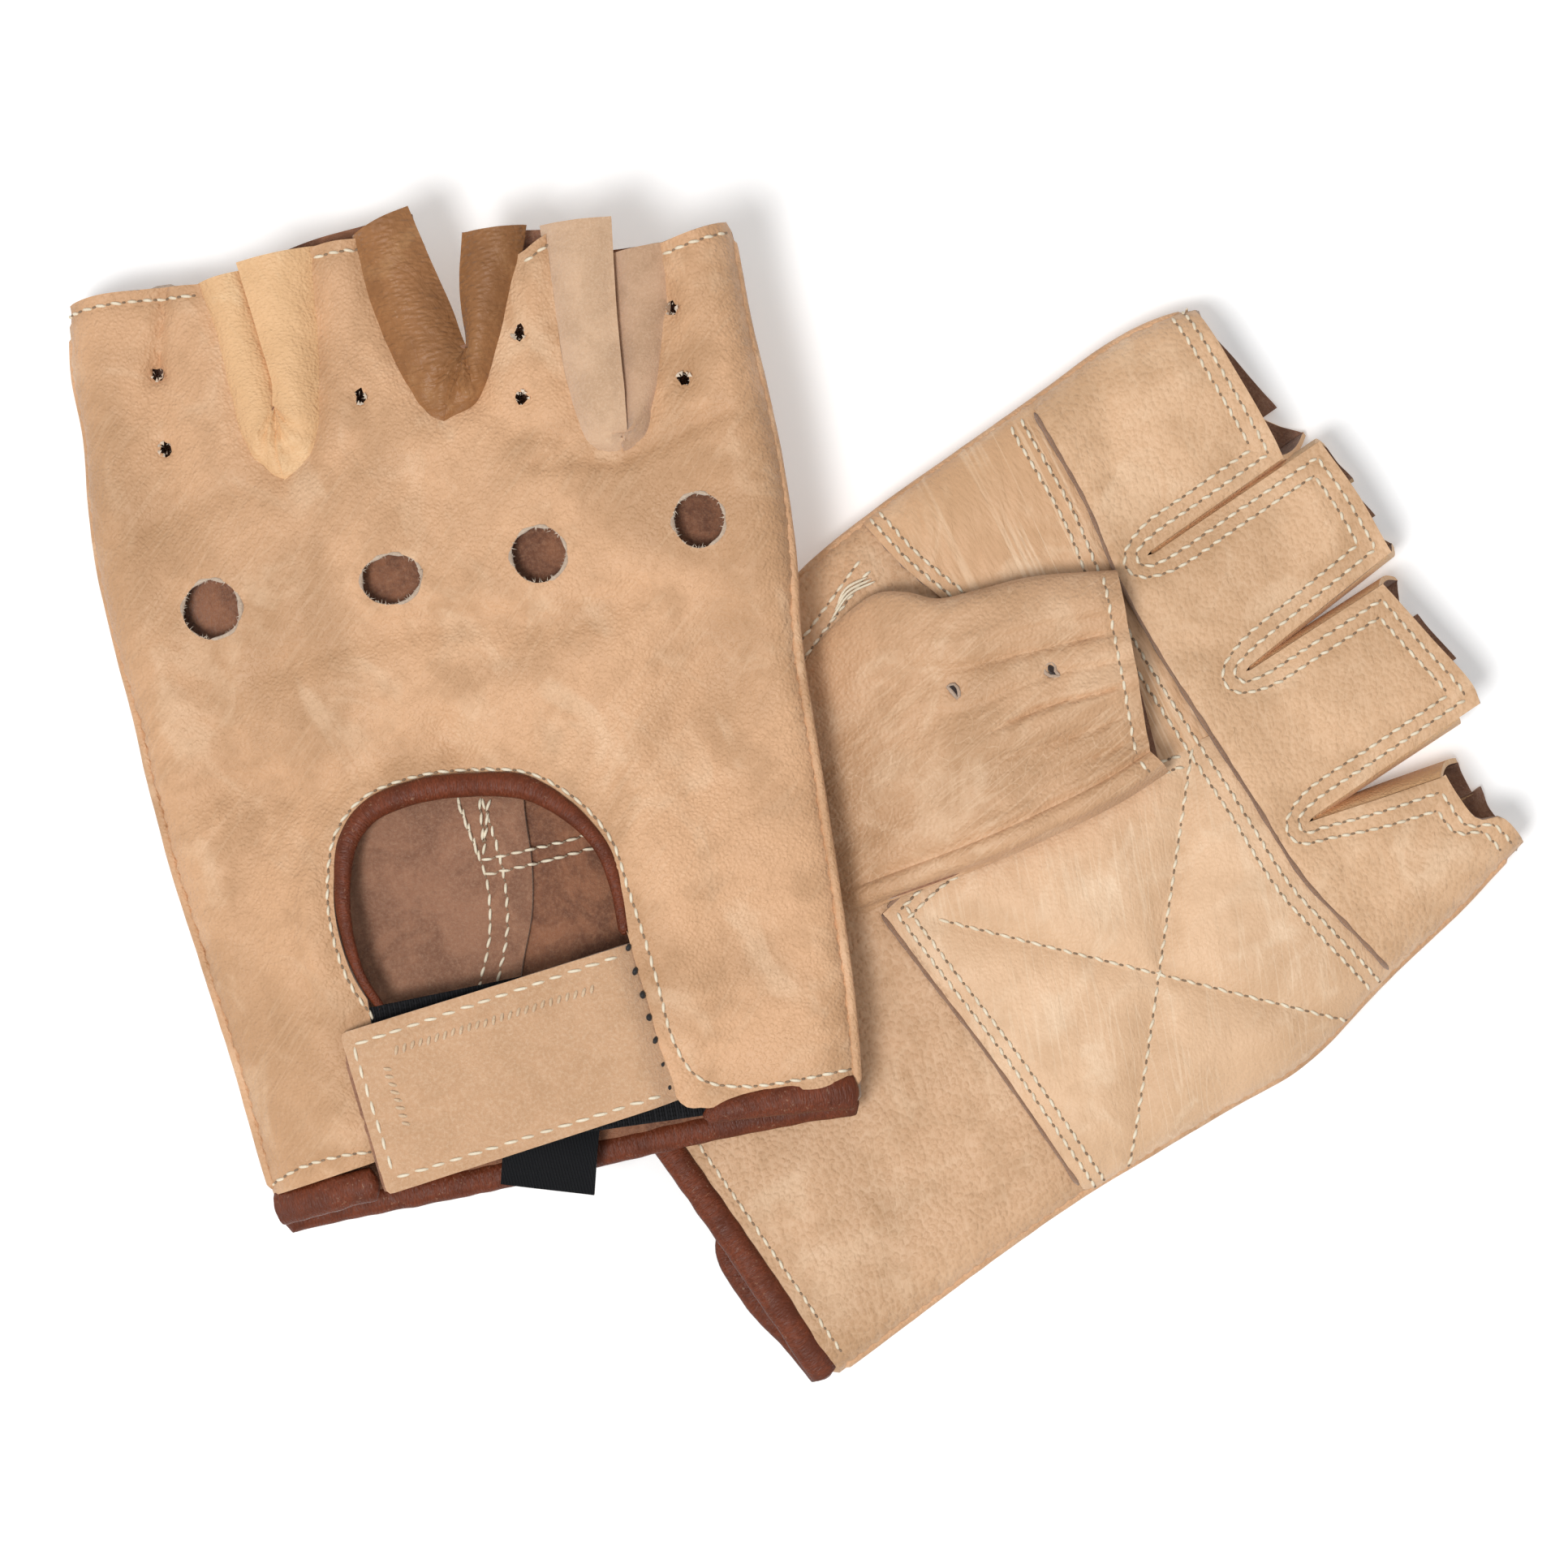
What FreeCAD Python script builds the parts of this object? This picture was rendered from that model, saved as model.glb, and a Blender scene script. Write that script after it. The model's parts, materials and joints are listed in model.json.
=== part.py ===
import FreeCAD
import Part
import math
import os

# A pair of fingerless leather gloves laid one across the other. The left glove lies palm up on the table.
# The right glove lies back up, with one edge resting on the left one and the other on its own folded thumb.
#
# Each glove is drawn flat in its own frame: U runs from the index side to the little finger side, V from the
# wrist to the fingers, and W from the outer face of the palm (0) to the outer face of the back (HEIGHT).
# Both gloves have their index side at -U, so the left glove is the right one turned over in W.
# All sizes are in millimetres. The origin is under the middle of the pair, on the table.

Vec = FreeCAD.Vector

# ---- Driving dimensions -------------------------------------------------------------------------------
LEATHER = 1.0            # glove leather
THUMB_LEATHER = 0.9      # the thinner leather of the thumb stall
HEIGHT = 9.0             # the relaxed glove at its wrist, palm face to back face
BACK_RISE = 2.65         # the back rises this much more from the wrist to the knuckle line
CLEAR = 0.3              # air between pieces that move apart
PAD_THICK = 0.8          # foam under the quilted palm patch
ELASTIC_THICK = 0.8      # woven elastic across the wrist opening
TAPE_THICK = 0.7         # each half of the hook-and-loop fastener
STRAP_LINING = 0.3
STRAP_LEATHER = 0.9
THUMB_THICK = 7.5        # the flattened thumb stall
BINDING_WIDTH = 3.2      # rolled edge binding, seen from above
BINDING_THICK = 2.2
BINDING_PROUD = 0.6      # the binding stands this far out of the leather it wraps
KNUCKLE_HOLE_R = 4.4
VENT_R = 0.75            # small punched vents on the finger backs
PALM_EDGE_V = 1.0        # wrist edge of the palm leather
BACK_EDGE_V = 3.4        # wrist edge of the back leather, set further in
LABEL_WIDTH, LABEL_LENGTH, LABEL_THICK = 14.0, 19.0, 0.6
STITCH_PITCH, STITCH_LENGTH, STITCH_WIDTH, STITCH_THICK = 2.4, 1.7, 0.45, 0.3
FAR = 200.0              # reach of the cutting shapes, beyond any glove edge
TALL = 30.0              # height of the blanks that the back's slope trims

PATCH_DEPTH = LEATHER + PAD_THICK                # the patch stands this far out of the palm
THUMB_GAP = PATCH_DEPTH + CLEAR                  # from the palm leather to the folded thumb
THUMB_OUT = THUMB_GAP + THUMB_THICK              # outer face of the folded thumb, below W = 0
FULL_HEIGHT = HEIGHT + BACK_RISE                 # the glove at its knuckles and stalls

# ---- What differs between the two gloves --------------------------------------------------------------
# index_side and little_side: the side edges, from wrist to fingertips.  fold: the knuckle line, where the row
# of stalls bends.  ends: each stall's open end, as (left U, left V, right U, right V).  notches: the gap
# between two stalls, as (top left U, top right U, bottom left U, bottom right U, bottom V).  gussets: the
# part of each fourchette that shows on the back.  thumb_down: how much lower down the palm the thumb lies.
RIGHT = {
    "index_side": [(-45.6, 0), (-46.6, 22), (-50.3, 50), (-52.4, 76), (-54, 92), (-54, 104), (-53.1, 118),
                   (-53, 140)],
    "little_side": [(45.5, 0), (47, 30), (47.4, 48), (49.8, 80), (50.4, 95), (49.8, 108), (49.4, 140)],
    "fold": 99.0,
    "ends": [(-56, 137.4, -22.5, 136.8), (-22.5, 138.6, 6, 139.4), (6, 132.5, 30.5, 135), (30.5, 128.5, 52, 130)],
    "notches": [(-23.4, -21.8, -23, -22.2, 109), (2.6, 9.6, 6.6, 7.8, 118), (29.9, 31.3, 28.4, 29.4, 104)],
    "gussets": [[(-30, 150), (-30, 136), (-28, 118), (-24.8, 109), (-22.3, 105.5), (-18, 109), (-15.2, 117),
                 (-13, 138), (-13, 150)],
                [(-5.2, 150), (-5.2, 139), (-3, 122), (-0.5, 113), (2.6, 110), (8.5, 113), (13.5, 121),
                 (17.6, 132), (17.6, 150)],
                [(22.6, 150), (22.4, 134), (22, 115), (24, 101), (29.4, 100.6), (33, 106), (36.4, 116),
                 (38.3, 128), (38.3, 150)]],
    "thumb_down": 7.0,
}
LEFT = {
    "index_side": [(-42, 0), (-47, 30), (-52, 58), (-54.5, 80), (-54.6, 95), (-55.2, 110), (-55, 122),
                   (-53.5, 131), (-51, 142)],
    "little_side": [(50, 0), (48.6, 28), (48.5, 45), (49.7, 73), (51, 82), (50.6, 90), (48.8, 99), (45, 120),
                    (42.7, 131), (41, 140)],
    "fold": 105.0,
    "ends": [(-60, 136.4, -25.8, 133.8), (-25.8, 139.6, -3.2, 139.2), (-3.2, 135, 21, 136.6), (21, 127.2, 52, 132)],
    "notches": [(-26.6, -25.2, -26.2, -25.4, 109), (-5.4, -1.4, -3.6, -2.6, 112), (20.6, 27.8, 20.4, 21.6, 108)],
    "gussets": [[(-34, 150), (-32, 120), (-27, 107), (-24.6, 107), (-20, 120), (-18, 150)],
                [(-13, 150), (-10, 120), (-4.4, 109), (-1.8, 109), (3.5, 120), (6, 150)],
                [(13, 150), (15, 118), (19.6, 106), (22.4, 106), (30, 120), (34, 150)]],
    "thumb_down": 0.0,
}
GLOVES = {"right": RIGHT, "left": LEFT}

# Where each glove lies: its wrist's middle in plan, and the turn of its V axis from +Y.
RIGHT_AT, RIGHT_YAW = (-32.88, -50.98), 10.5
LEFT_AT, LEFT_YAW = (-21.18, -45.08), -55.5
RIGHT_TILT = 5.5         # the right glove's little finger side is raised by the left glove under it
RIGHT_LIFT = 14.2        # height of its palm face at its own origin

# ---- Outlines that both gloves share ------------------------------------------------------------------
ARCH = [(-22.8, 25.6), (-25.4, 31), (-26.3, 38), (-25.8, 46), (-23, 53), (-17, 57.2), (-9, 58), (0, 56.6),
        (8, 53.2), (13.8, 48), (16.2, 41), (16.3, 34), (15.9, 29.6)]
FLAP_EDGE = [(15.9, 29.6), (16.9, 18), (18.6, 8), (20.6, BACK_EDGE_V)]      # sewn edge beside the strap
ARCH_FOOT_U = -22.0      # the opening's other side, at the wrist edge
STRAP = [(-29, 23.5), (15.3, 28.6), (18.2, 5.3), (-26.5, -1.5)]
ELASTIC = [(-25, 26.5), (19.5, 27.5), (22.5, 4.2), (-25, 4.2)]
LOOP_TAPE = [(-21, 22), (12, 24), (13, 8), (-20, 6)]
HOOK_TAPE = [(-21.5, 21), (11.5, 24.5), (12.5, 9), (-20.5, 5)]
KNUCKLES = [(-36.7, 88.5), (-9.2, 88), (13.3, 87.5), (37.3, 87.8)]
VENTS = [(-39.5, 125), (-39.7, 113.5), (-9, 115.5), (16, 120), (14.8, 112.5), (39.2, 119.5), (39.2, 110.5)]
THENAR_SEAM = [(-9, 0), (-7.5, 24), (-4, 46), (-20, 57), (-34, 67), (-46, 74), (-70, 74)]
PATCH_CORNER = (-4.0, 46.0)
PATCH_INDEX_EDGE = [(-35.0, 68.0), (-31.5, 80.0)]     # where the patch meets the index side panel
QUILT = [((2.5, 97), (46.5, 54.5)), ((-1.5, 50), (46.5, 93))]
THUMB_AXIS = ((-46.0, 75.0), (-5.2, 51.2))            # the line the folded thumb turns about
THUMB_INDEX_EDGE = [(-45.4, 75.1), (-41, 77), (-38.3, 81), (-35, 88), (-31, 96), (-27, 103.4)]
THUMB_PALM_EDGE = [(2.3, 92.6), (1.5, 84), (-0.5, 72), (-2.8, 61), (-5.0, 52)]
THUMB_VENTS = [(-19.5, 86.5), (-25, 73)]
THUMB_HOLE_AT, THUMB_HOLE_HALF, THUMB_HOLE_TURN = (-32.0, 54.0), (12.0, 8.0), -38.0
LABEL_AT, LABEL_TURN = (-1.0, 9.5), -17.0             # middle of its sewn edge


# ---- Small helpers ------------------------------------------------------------------------------------
def polygon(points):
    """A flat face at W = 0 with straight edges."""
    corners = [Vec(u, v, 0) for u, v in points]
    return Part.Face(Part.makePolygon(corners + corners[:1]))


def run_edge(points):
    """A smooth edge through the points, or a straight one between two."""
    if len(points) == 2:
        return Part.makeLine(Vec(*points[0], 0), Vec(*points[1], 0))
    curve = Part.BSplineCurve()
    curve.interpolate([Vec(u, v, 0) for u, v in points])
    return curve.toShape()


def closed_face(*runs):
    """A flat face bounded by smooth runs of points, joined end to end by straight lines."""
    edges = []
    for i, run in enumerate(runs):
        edges.append(run_edge(run))
        end, start = run[-1], runs[(i + 1) % len(runs)][0]
        if math.dist(end, start) > 1e-6:
            edges.append(run_edge([end, start]))
    return Part.Face(Part.Wire(edges))


def slab(face, low, high):
    """The face's outline made solid from W = low to W = high."""
    solid = face.extrude(Vec(0, 0, high - low))
    solid.translate(Vec(0, 0, low))
    return solid


def between(v_low, v_high):
    """A strip across the glove between two V values."""
    return polygon([(-FAR, v_low), (FAR, v_low), (FAR, v_high), (-FAR, v_high)])


def moved(points, du, dv):
    return [(u + du, v + dv) for u, v in points]


def beside(points, distance):
    """The points moved to their right-hand side, square to the line through them."""
    out = []
    for i, (u, v) in enumerate(points):
        before, after = points[max(i - 1, 0)], points[min(i + 1, len(points) - 1)]
        du, dv = after[0] - before[0], after[1] - before[1]
        size = math.hypot(du, dv)
        out.append((u + dv / size * distance, v - du / size * distance))
    return out


def round_bar(u_low, u_high, v_low, w_low):
    """A rolled binding along U: a bar with rounded long edges."""
    bar = Part.makeBox(u_high - u_low, BINDING_WIDTH, BINDING_THICK, Vec(u_low, v_low, w_low))
    long_edges = [e for e in bar.Edges if abs(e.tangentAt(e.FirstParameter).x) > 0.9]
    return bar.makeFillet(BINDING_THICK * 0.42, long_edges)


def punches(places, radius, w_low, w_high):
    return [Part.makeCylinder(radius, w_high - w_low, Vec(u, v, w_low)) for u, v in places]


# ---- The back's slope ---------------------------------------------------------------------------------
def above_back(glove, depth):
    """All the space above the back's outer face lowered by depth."""
    fold, full = glove["fold"], FULL_HEIGHT - depth
    start = -40.0
    profile = [(start, full + BACK_RISE * (start / fold - 1)), (fold, full), (FAR, full), (FAR, 3 * TALL),
               (start, 3 * TALL)]
    corners = [Vec(-FAR, v, w) for v, w in profile]
    face = Part.Face(Part.makePolygon(corners + corners[:1]))
    return face.extrude(Vec(2 * FAR, 0, 0))


def back_layer(glove, face, deep, shallow):
    """The face made solid between two depths under the back's outer face. A negative depth stands proud."""
    return slab(face, 0, TALL).cut(above_back(glove, shallow)).common(above_back(glove, deep))


def up_to_back(glove, face, w_low):
    """The face made solid from W = w_low to the inside of the back leather."""
    return slab(face, w_low, TALL).cut(above_back(glove, LEATHER))


# ---- Regions of one glove -----------------------------------------------------------------------------
def outline(glove, inset=0.0):
    """The whole glove in plan, with its sides moved in by inset, open past the fingertips."""
    index = moved(glove["index_side"], inset, 0)
    little = moved(glove["little_side"], -inset, 0)
    return closed_face(index, little[::-1])


def notch(shape, grow=0.0):
    """The gap between two stalls, made wider and deeper by grow."""
    top_left, top_right, bottom_left, bottom_right, bottom = shape
    return polygon([(top_left - grow, 160), (top_right + grow, 160),
                    (bottom_right + grow, bottom - grow), (bottom_left - grow, bottom - grow)])


def past_ends(glove):
    """Everything beyond the open ends of the four stalls."""
    caps = [polygon([(a, va), (b, vb), (b, 160), (a, 160)]) for a, va, b, vb in glove["ends"]]
    return caps[0].fuse(caps[1:])


def stalls(glove, inset=0.0):
    """The four finger stalls in plan, joined at the knuckle line."""
    region = outline(glove, inset).common(between(glove["fold"] + CLEAR / 2, 160))
    return region.cut(past_ends(glove)).cut([notch(n) for n in glove["notches"]])


def hand_region(glove, v_low, inset=0.0):
    """The part of the glove between the wrist and the knuckle line."""
    return outline(glove, inset).common(between(v_low, glove["fold"] - CLEAR / 2))


def arch_opening():
    """The opening over the back of the wrist, from the arch down past the wrist edge."""
    below = -20.0
    return closed_face(ARCH, FLAP_EDGE, [(FLAP_EDGE[-1][0], below), (ARCH_FOOT_U, below)],
                       [(ARCH_FOOT_U, BACK_EDGE_V), ARCH[0]])


# ---- Back of the hand ---------------------------------------------------------------------------------
def back_panel(glove):
    """The back leather with its arch and knuckle holes, and the side leather down to the palm."""
    whole = hand_region(glove, BACK_EDGE_V)
    plate = back_layer(glove, whole.cut(arch_opening()), LEATHER, 0)
    sides = up_to_back(glove, whole.cut(hand_region(glove, BACK_EDGE_V - 1, LEATHER)), 0)
    solid = plate.fuse(sides)
    return solid.cut(punches(KNUCKLES, KNUCKLE_HOLE_R, HEIGHT - 2 * LEATHER, TALL)).removeSplitter()


def back_fingers(glove):
    """The backs of the four stalls, with the side leather that wraps round the two outer ones."""
    flanges = [polygon(g) for g in glove["gussets"]]
    plate = back_layer(glove, stalls(glove).cut(flanges), LEATHER, 0)
    sides = stalls(glove).cut(stalls(glove, LEATHER)).cut([notch(n, LEATHER) for n in glove["notches"]])
    solid = plate.fuse(up_to_back(glove, sides, 0))
    return solid.cut(punches(VENTS, VENT_R, HEIGHT, TALL)).removeSplitter()


def fourchette(glove, number):
    """The folded strip that makes the facing walls of two neighbouring stalls and shows on the back."""
    gap = notch(glove["notches"][number])
    lining = notch(glove["notches"][number], LEATHER).cut(gap).common(stalls(glove))
    flange = polygon(glove["gussets"][number]).common(stalls(glove))
    wall = up_to_back(glove, lining, LEATHER)
    return wall.fuse(back_layer(glove, flange, LEATHER, 0)).removeSplitter()


def arch_binding(glove):
    ring = closed_face(ARCH, beside(ARCH, BINDING_WIDTH)[::-1])
    return back_layer(glove, ring, LEATHER, -BINDING_PROUD)


def back_binding(glove):
    """Binding of the back's wrist edge, left and right of the opening."""
    low = HEIGHT - LEATHER / 2 - BINDING_THICK / 2
    margin = 0.5
    left_end = glove["index_side"][0][0] + margin
    right_end = glove["little_side"][0][0] - margin
    beside_strap = STRAP[3][0] - margin
    v_low = BACK_EDGE_V - BINDING_WIDTH
    return Part.makeCompound([round_bar(left_end, beside_strap, v_low, low),
                              round_bar(FLAP_EDGE[-1][0], right_end, v_low, low)])


# ---- Palm ---------------------------------------------------------------------------------------------
def thenar_region():
    return polygon(THENAR_SEAM + [(-70, 0)])


def thenar_panel(glove):
    """The leather at the base of the thumb, with the hole that the thumb passes through."""
    region = hand_region(glove, PALM_EDGE_V, LEATHER).common(thenar_region())
    hole = Part.Face(Part.Wire([Part.Ellipse(Vec(0, 0, 0), *THUMB_HOLE_HALF).toShape()]))
    hole.rotate(Vec(0, 0, 0), Vec(0, 0, 1), THUMB_HOLE_TURN)
    u, v = THUMB_HOLE_AT
    hole.translate(Vec(u, v - glove["thumb_down"], 0))
    return slab(region.cut(hole), 0, LEATHER)


def palm_heel(glove):
    """The rest of the palm leather, which carries on under the patch to the knuckle line."""
    return slab(hand_region(glove, PALM_EDGE_V, LEATHER).cut(thenar_region()), 0, LEATHER)


def overlay_region(glove, inset=0.0):
    """The palm above the thumb and beside it, which the patch and the index side panel cover."""
    u, v = PATCH_CORNER
    top = glove["fold"] - CLEAR / 2
    body = polygon([(-70, 75 + inset), (-46, 75 + inset), (u + inset, v + inset), (70, v + inset),
                    (70, top - inset), (-70, top - inset)])
    return body.common(hand_region(glove, PALM_EDGE_V, LEATHER + inset))


def index_side(shift=0.0):
    """Everything on the index side of the patch."""
    (u0, v0), (u1, v1) = moved(PATCH_INDEX_EDGE, shift, 0)
    return polygon([(-FAR, v0), (u0, v0), (u1, v1), (u1, FAR), (-FAR, FAR)])


def index_side_panel(glove):
    return slab(overlay_region(glove).common(index_side()), -LEATHER, 0)


def patch_padding(glove):
    """The foam inside the patch, set in from its sewn edge."""
    hem = 3.0
    return slab(overlay_region(glove, hem).cut(index_side(hem)), -PAD_THICK, 0)


def palm_patch(glove):
    return slab(overlay_region(glove).cut(index_side()), -PATCH_DEPTH, 0).cut(patch_padding(glove))


def patch_thread(glove):
    """The crossed quilting lines, as short lengths of thread lying on the patch."""
    stitches = []
    for (u0, v0), (u1, v1) in QUILT:
        run = math.dist((u0, v0), (u1, v1))
        angle = math.degrees(math.atan2(v1 - v0, u1 - u0))
        for i in range(int(run / STITCH_PITCH)):
            share = (i + 0.5) * STITCH_PITCH / run
            if abs(share - 0.5) * run < 2 * STITCH_PITCH:
                continue                                  # left free where the two lines cross
            corner = Vec(-STITCH_LENGTH / 2, -STITCH_WIDTH / 2, -PATCH_DEPTH - STITCH_THICK)
            stitch = Part.makeBox(STITCH_LENGTH, STITCH_WIDTH, STITCH_THICK, corner)
            stitch.rotate(Vec(0, 0, 0), Vec(0, 0, 1), angle)
            stitch.translate(Vec(u0 + (u1 - u0) * share, v0 + (v1 - v0) * share, 0))
            stitches.append(stitch)
    return Part.makeCompound(stitches)


def finger_pad(glove):
    return slab(stalls(glove, LEATHER), 0, LEATHER)


def palm_binding(glove):
    margin = 0.3
    left_end = glove["index_side"][0][0] + margin
    right_end = glove["little_side"][0][0] - margin
    return round_bar(left_end, right_end, PALM_EDGE_V - BINDING_WIDTH, LEATHER / 2 - BINDING_THICK / 2)


# ---- Thumb, folded flat over the palm ------------------------------------------------------------------
def thumb_region(inset=0.0, reach=0.0):
    """The thumb stall in plan. inset moves its two side seams in; reach runs it past its two ends."""
    index = moved(THUMB_INDEX_EDGE, inset, -inset / 2)
    palm = moved(THUMB_PALM_EDGE, -inset, 0)
    if reach:
        (u0, v0), (u1, v1) = index[0], index[-1]
        index = [(u0 - reach * 0.6, v0 - reach), *index, (u1 + reach * 0.5, v1 + reach)]
        (u0, v0), (u1, v1) = palm[0], palm[-1]
        palm = [(u0 + reach * 0.1, v0 + reach), *palm, (u1 - reach * 0.4, v1 - reach)]
    return closed_face(index, palm)


def thumb_front(glove):
    """The stall's outer leather with its two sides."""
    low, joint = -THUMB_OUT, -THUMB_GAP - THUMB_LEATHER
    hollow = slab(thumb_region(THUMB_LEATHER, 12.0), low + THUMB_LEATHER, joint + 1)
    shell = slab(thumb_region(), low, joint).cut(hollow)
    shell = shell.cut(punches(THUMB_VENTS, VENT_R, low - 1, low + 2))
    shell.translate(Vec(0, -glove["thumb_down"], 0))
    return shell


def thumb_back(glove):
    """The stall's inner leather, which lies on the palm."""
    plate = slab(thumb_region(), -THUMB_GAP - THUMB_LEATHER, -THUMB_GAP)
    plate.translate(Vec(0, -glove["thumb_down"], 0))
    return plate


# ---- Wrist fastening ----------------------------------------------------------------------------------
def strap_layers(glove):
    """Hook tape, lining and leather of the wrist strap, stacked outward from the back's outer face."""
    lining, leather, outside = TAPE_THICK, TAPE_THICK + STRAP_LINING, TAPE_THICK + STRAP_LINING + STRAP_LEATHER
    return {
        "hook_tape": back_layer(glove, polygon(HOOK_TAPE), 0, -lining),
        "strap_lining": back_layer(glove, polygon(STRAP), -lining, -leather),
        "strap_leather": back_layer(glove, polygon(STRAP), -leather, -outside),
    }


def elastic_band(glove):
    return back_layer(glove, polygon(ELASTIC), LEATHER + ELASTIC_THICK, LEATHER)


def loop_tape(glove):
    return back_layer(glove, polygon(LOOP_TAPE), LEATHER, LEATHER - TAPE_THICK)


def label_tag(glove):
    """A woven loop, sewn under the elastic, that hangs out over the wrist edge. It carries no lettering."""
    tag = polygon([(-LABEL_WIDTH / 2, 0), (LABEL_WIDTH / 2, 0), (LABEL_WIDTH / 2, -LABEL_LENGTH),
                   (-LABEL_WIDTH / 2, -LABEL_LENGTH)])
    tag.rotate(Vec(0, 0, 0), Vec(0, 0, 1), LABEL_TURN)
    tag.translate(Vec(*LABEL_AT, 0))
    top = LEATHER + ELASTIC_THICK
    return back_layer(glove, tag, top + LABEL_THICK, top)


# ---- Assembly -----------------------------------------------------------------------------------------
def pieces(glove):
    """Every node of one glove, drawn flat."""
    made = {
        "back_panel": back_panel(glove),
        "back_fingers": back_fingers(glove),
        "fourchette_index_middle": fourchette(glove, 0),
        "fourchette_middle_ring": fourchette(glove, 1),
        "fourchette_ring_little": fourchette(glove, 2),
        "arch_binding": arch_binding(glove),
        "wrist_binding_back": back_binding(glove),
        "palm_heel": palm_heel(glove),
        "thenar_panel": thenar_panel(glove),
        "index_side_panel": index_side_panel(glove),
        "palm_patch": palm_patch(glove),
        "patch_padding": patch_padding(glove),
        "patch_thread": patch_thread(glove),
        "finger_pad": finger_pad(glove),
        "wrist_binding_palm": palm_binding(glove),
        "thumb_front": thumb_front(glove),
        "thumb_back": thumb_back(glove),
        "elastic_band": elastic_band(glove),
        "loop_tape": loop_tape(glove),
        "label_tag": label_tag(glove),
    }
    made.update(strap_layers(glove))
    return made


def placement(side):
    """The move that takes a glove drawn flat to where it lies, once the left one has been turned over in W."""
    turn = FreeCAD.Rotation(Vec(0, 0, 1), RIGHT_YAW if side == "right" else LEFT_YAW)
    if side == "left":
        return FreeCAD.Placement(Vec(*LEFT_AT, FULL_HEIGHT), turn)
    tilt = FreeCAD.Rotation(Vec(0, 1, 0), -RIGHT_TILT)
    return FreeCAD.Placement(Vec(*RIGHT_AT, RIGHT_LIFT), turn.multiply(tilt))


def put_down(shape, side):
    if side == "left":
        shape = shape.mirror(Vec(0, 0, 0), Vec(0, 0, 1))
    shape.Placement = placement(side).multiply(shape.Placement)
    return shape


def main():
    os.makedirs("parts", exist_ok=True)
    for side, glove in GLOVES.items():
        for name, shape in pieces(glove).items():
            put_down(shape, side).exportStep(f"parts/{side}_{name}.step")


main()
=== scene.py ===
import json
import math
from functools import partial

import bmesh
import bpy
import numpy as np
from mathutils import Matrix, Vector, kdtree, noise
from mathutils.geometry import delaunay_2d_cdt


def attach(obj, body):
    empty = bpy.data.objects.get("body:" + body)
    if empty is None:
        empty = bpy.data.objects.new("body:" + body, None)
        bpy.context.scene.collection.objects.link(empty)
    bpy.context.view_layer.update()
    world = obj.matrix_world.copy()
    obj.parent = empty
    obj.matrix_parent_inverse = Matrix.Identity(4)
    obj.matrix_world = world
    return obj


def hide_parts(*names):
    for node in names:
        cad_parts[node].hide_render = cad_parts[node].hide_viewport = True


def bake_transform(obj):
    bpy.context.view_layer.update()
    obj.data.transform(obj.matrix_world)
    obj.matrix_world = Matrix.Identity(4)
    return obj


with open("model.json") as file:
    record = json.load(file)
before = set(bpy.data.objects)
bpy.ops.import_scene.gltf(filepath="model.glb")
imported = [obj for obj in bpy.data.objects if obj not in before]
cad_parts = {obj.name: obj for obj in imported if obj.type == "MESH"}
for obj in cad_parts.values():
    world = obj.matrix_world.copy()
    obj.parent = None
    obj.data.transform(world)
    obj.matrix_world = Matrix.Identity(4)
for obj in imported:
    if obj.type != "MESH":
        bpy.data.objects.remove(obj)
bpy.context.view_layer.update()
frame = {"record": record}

# A pair of fingerless leather gloves. Each glove is drawn flat in its own frame, in millimetres: u runs from
# the index side to the little finger side, v from the wrist to the fingertips, w from the palm's outer face
# outward through the back. place() takes that frame to where the glove lies, in metres.
MM = 0.001
HEIGHT = 9.0             # a relaxed glove at its wrist, palm face to back face
RISE = 2.65              # the back rises this much more up to the knuckle line
FULL = HEIGHT + RISE
MID = 4.2                # height of the side seams
LEATHER = 1.0
GRID = 1.25              # spacing of a sheet's points
THUMB_GAP = 2.1          # from the palm to the folded thumb
THUMB_OUT = 9.6          # outer face of the folded thumb
SINK = 2.8               # the upper glove's back sinks in by this much
PALM_RISE = 4.0          # and its palm rises by this much
FOLD_REACH = 9.0         # a span each side of the knuckle line; settle() works two points from it that nothing uses
SIDE_START = 3.4         # the back's outline takes up the side edges this far above the wrist
WRIST_HEM = 3.4          # from the palm's wrist edge up to its stitches
SEAM_LIFT = 0.16         # stitches lie this far above their groove
FLOOR_GAP = 0.0002       # metres between the CAD's lowest point and the studio floor


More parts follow.
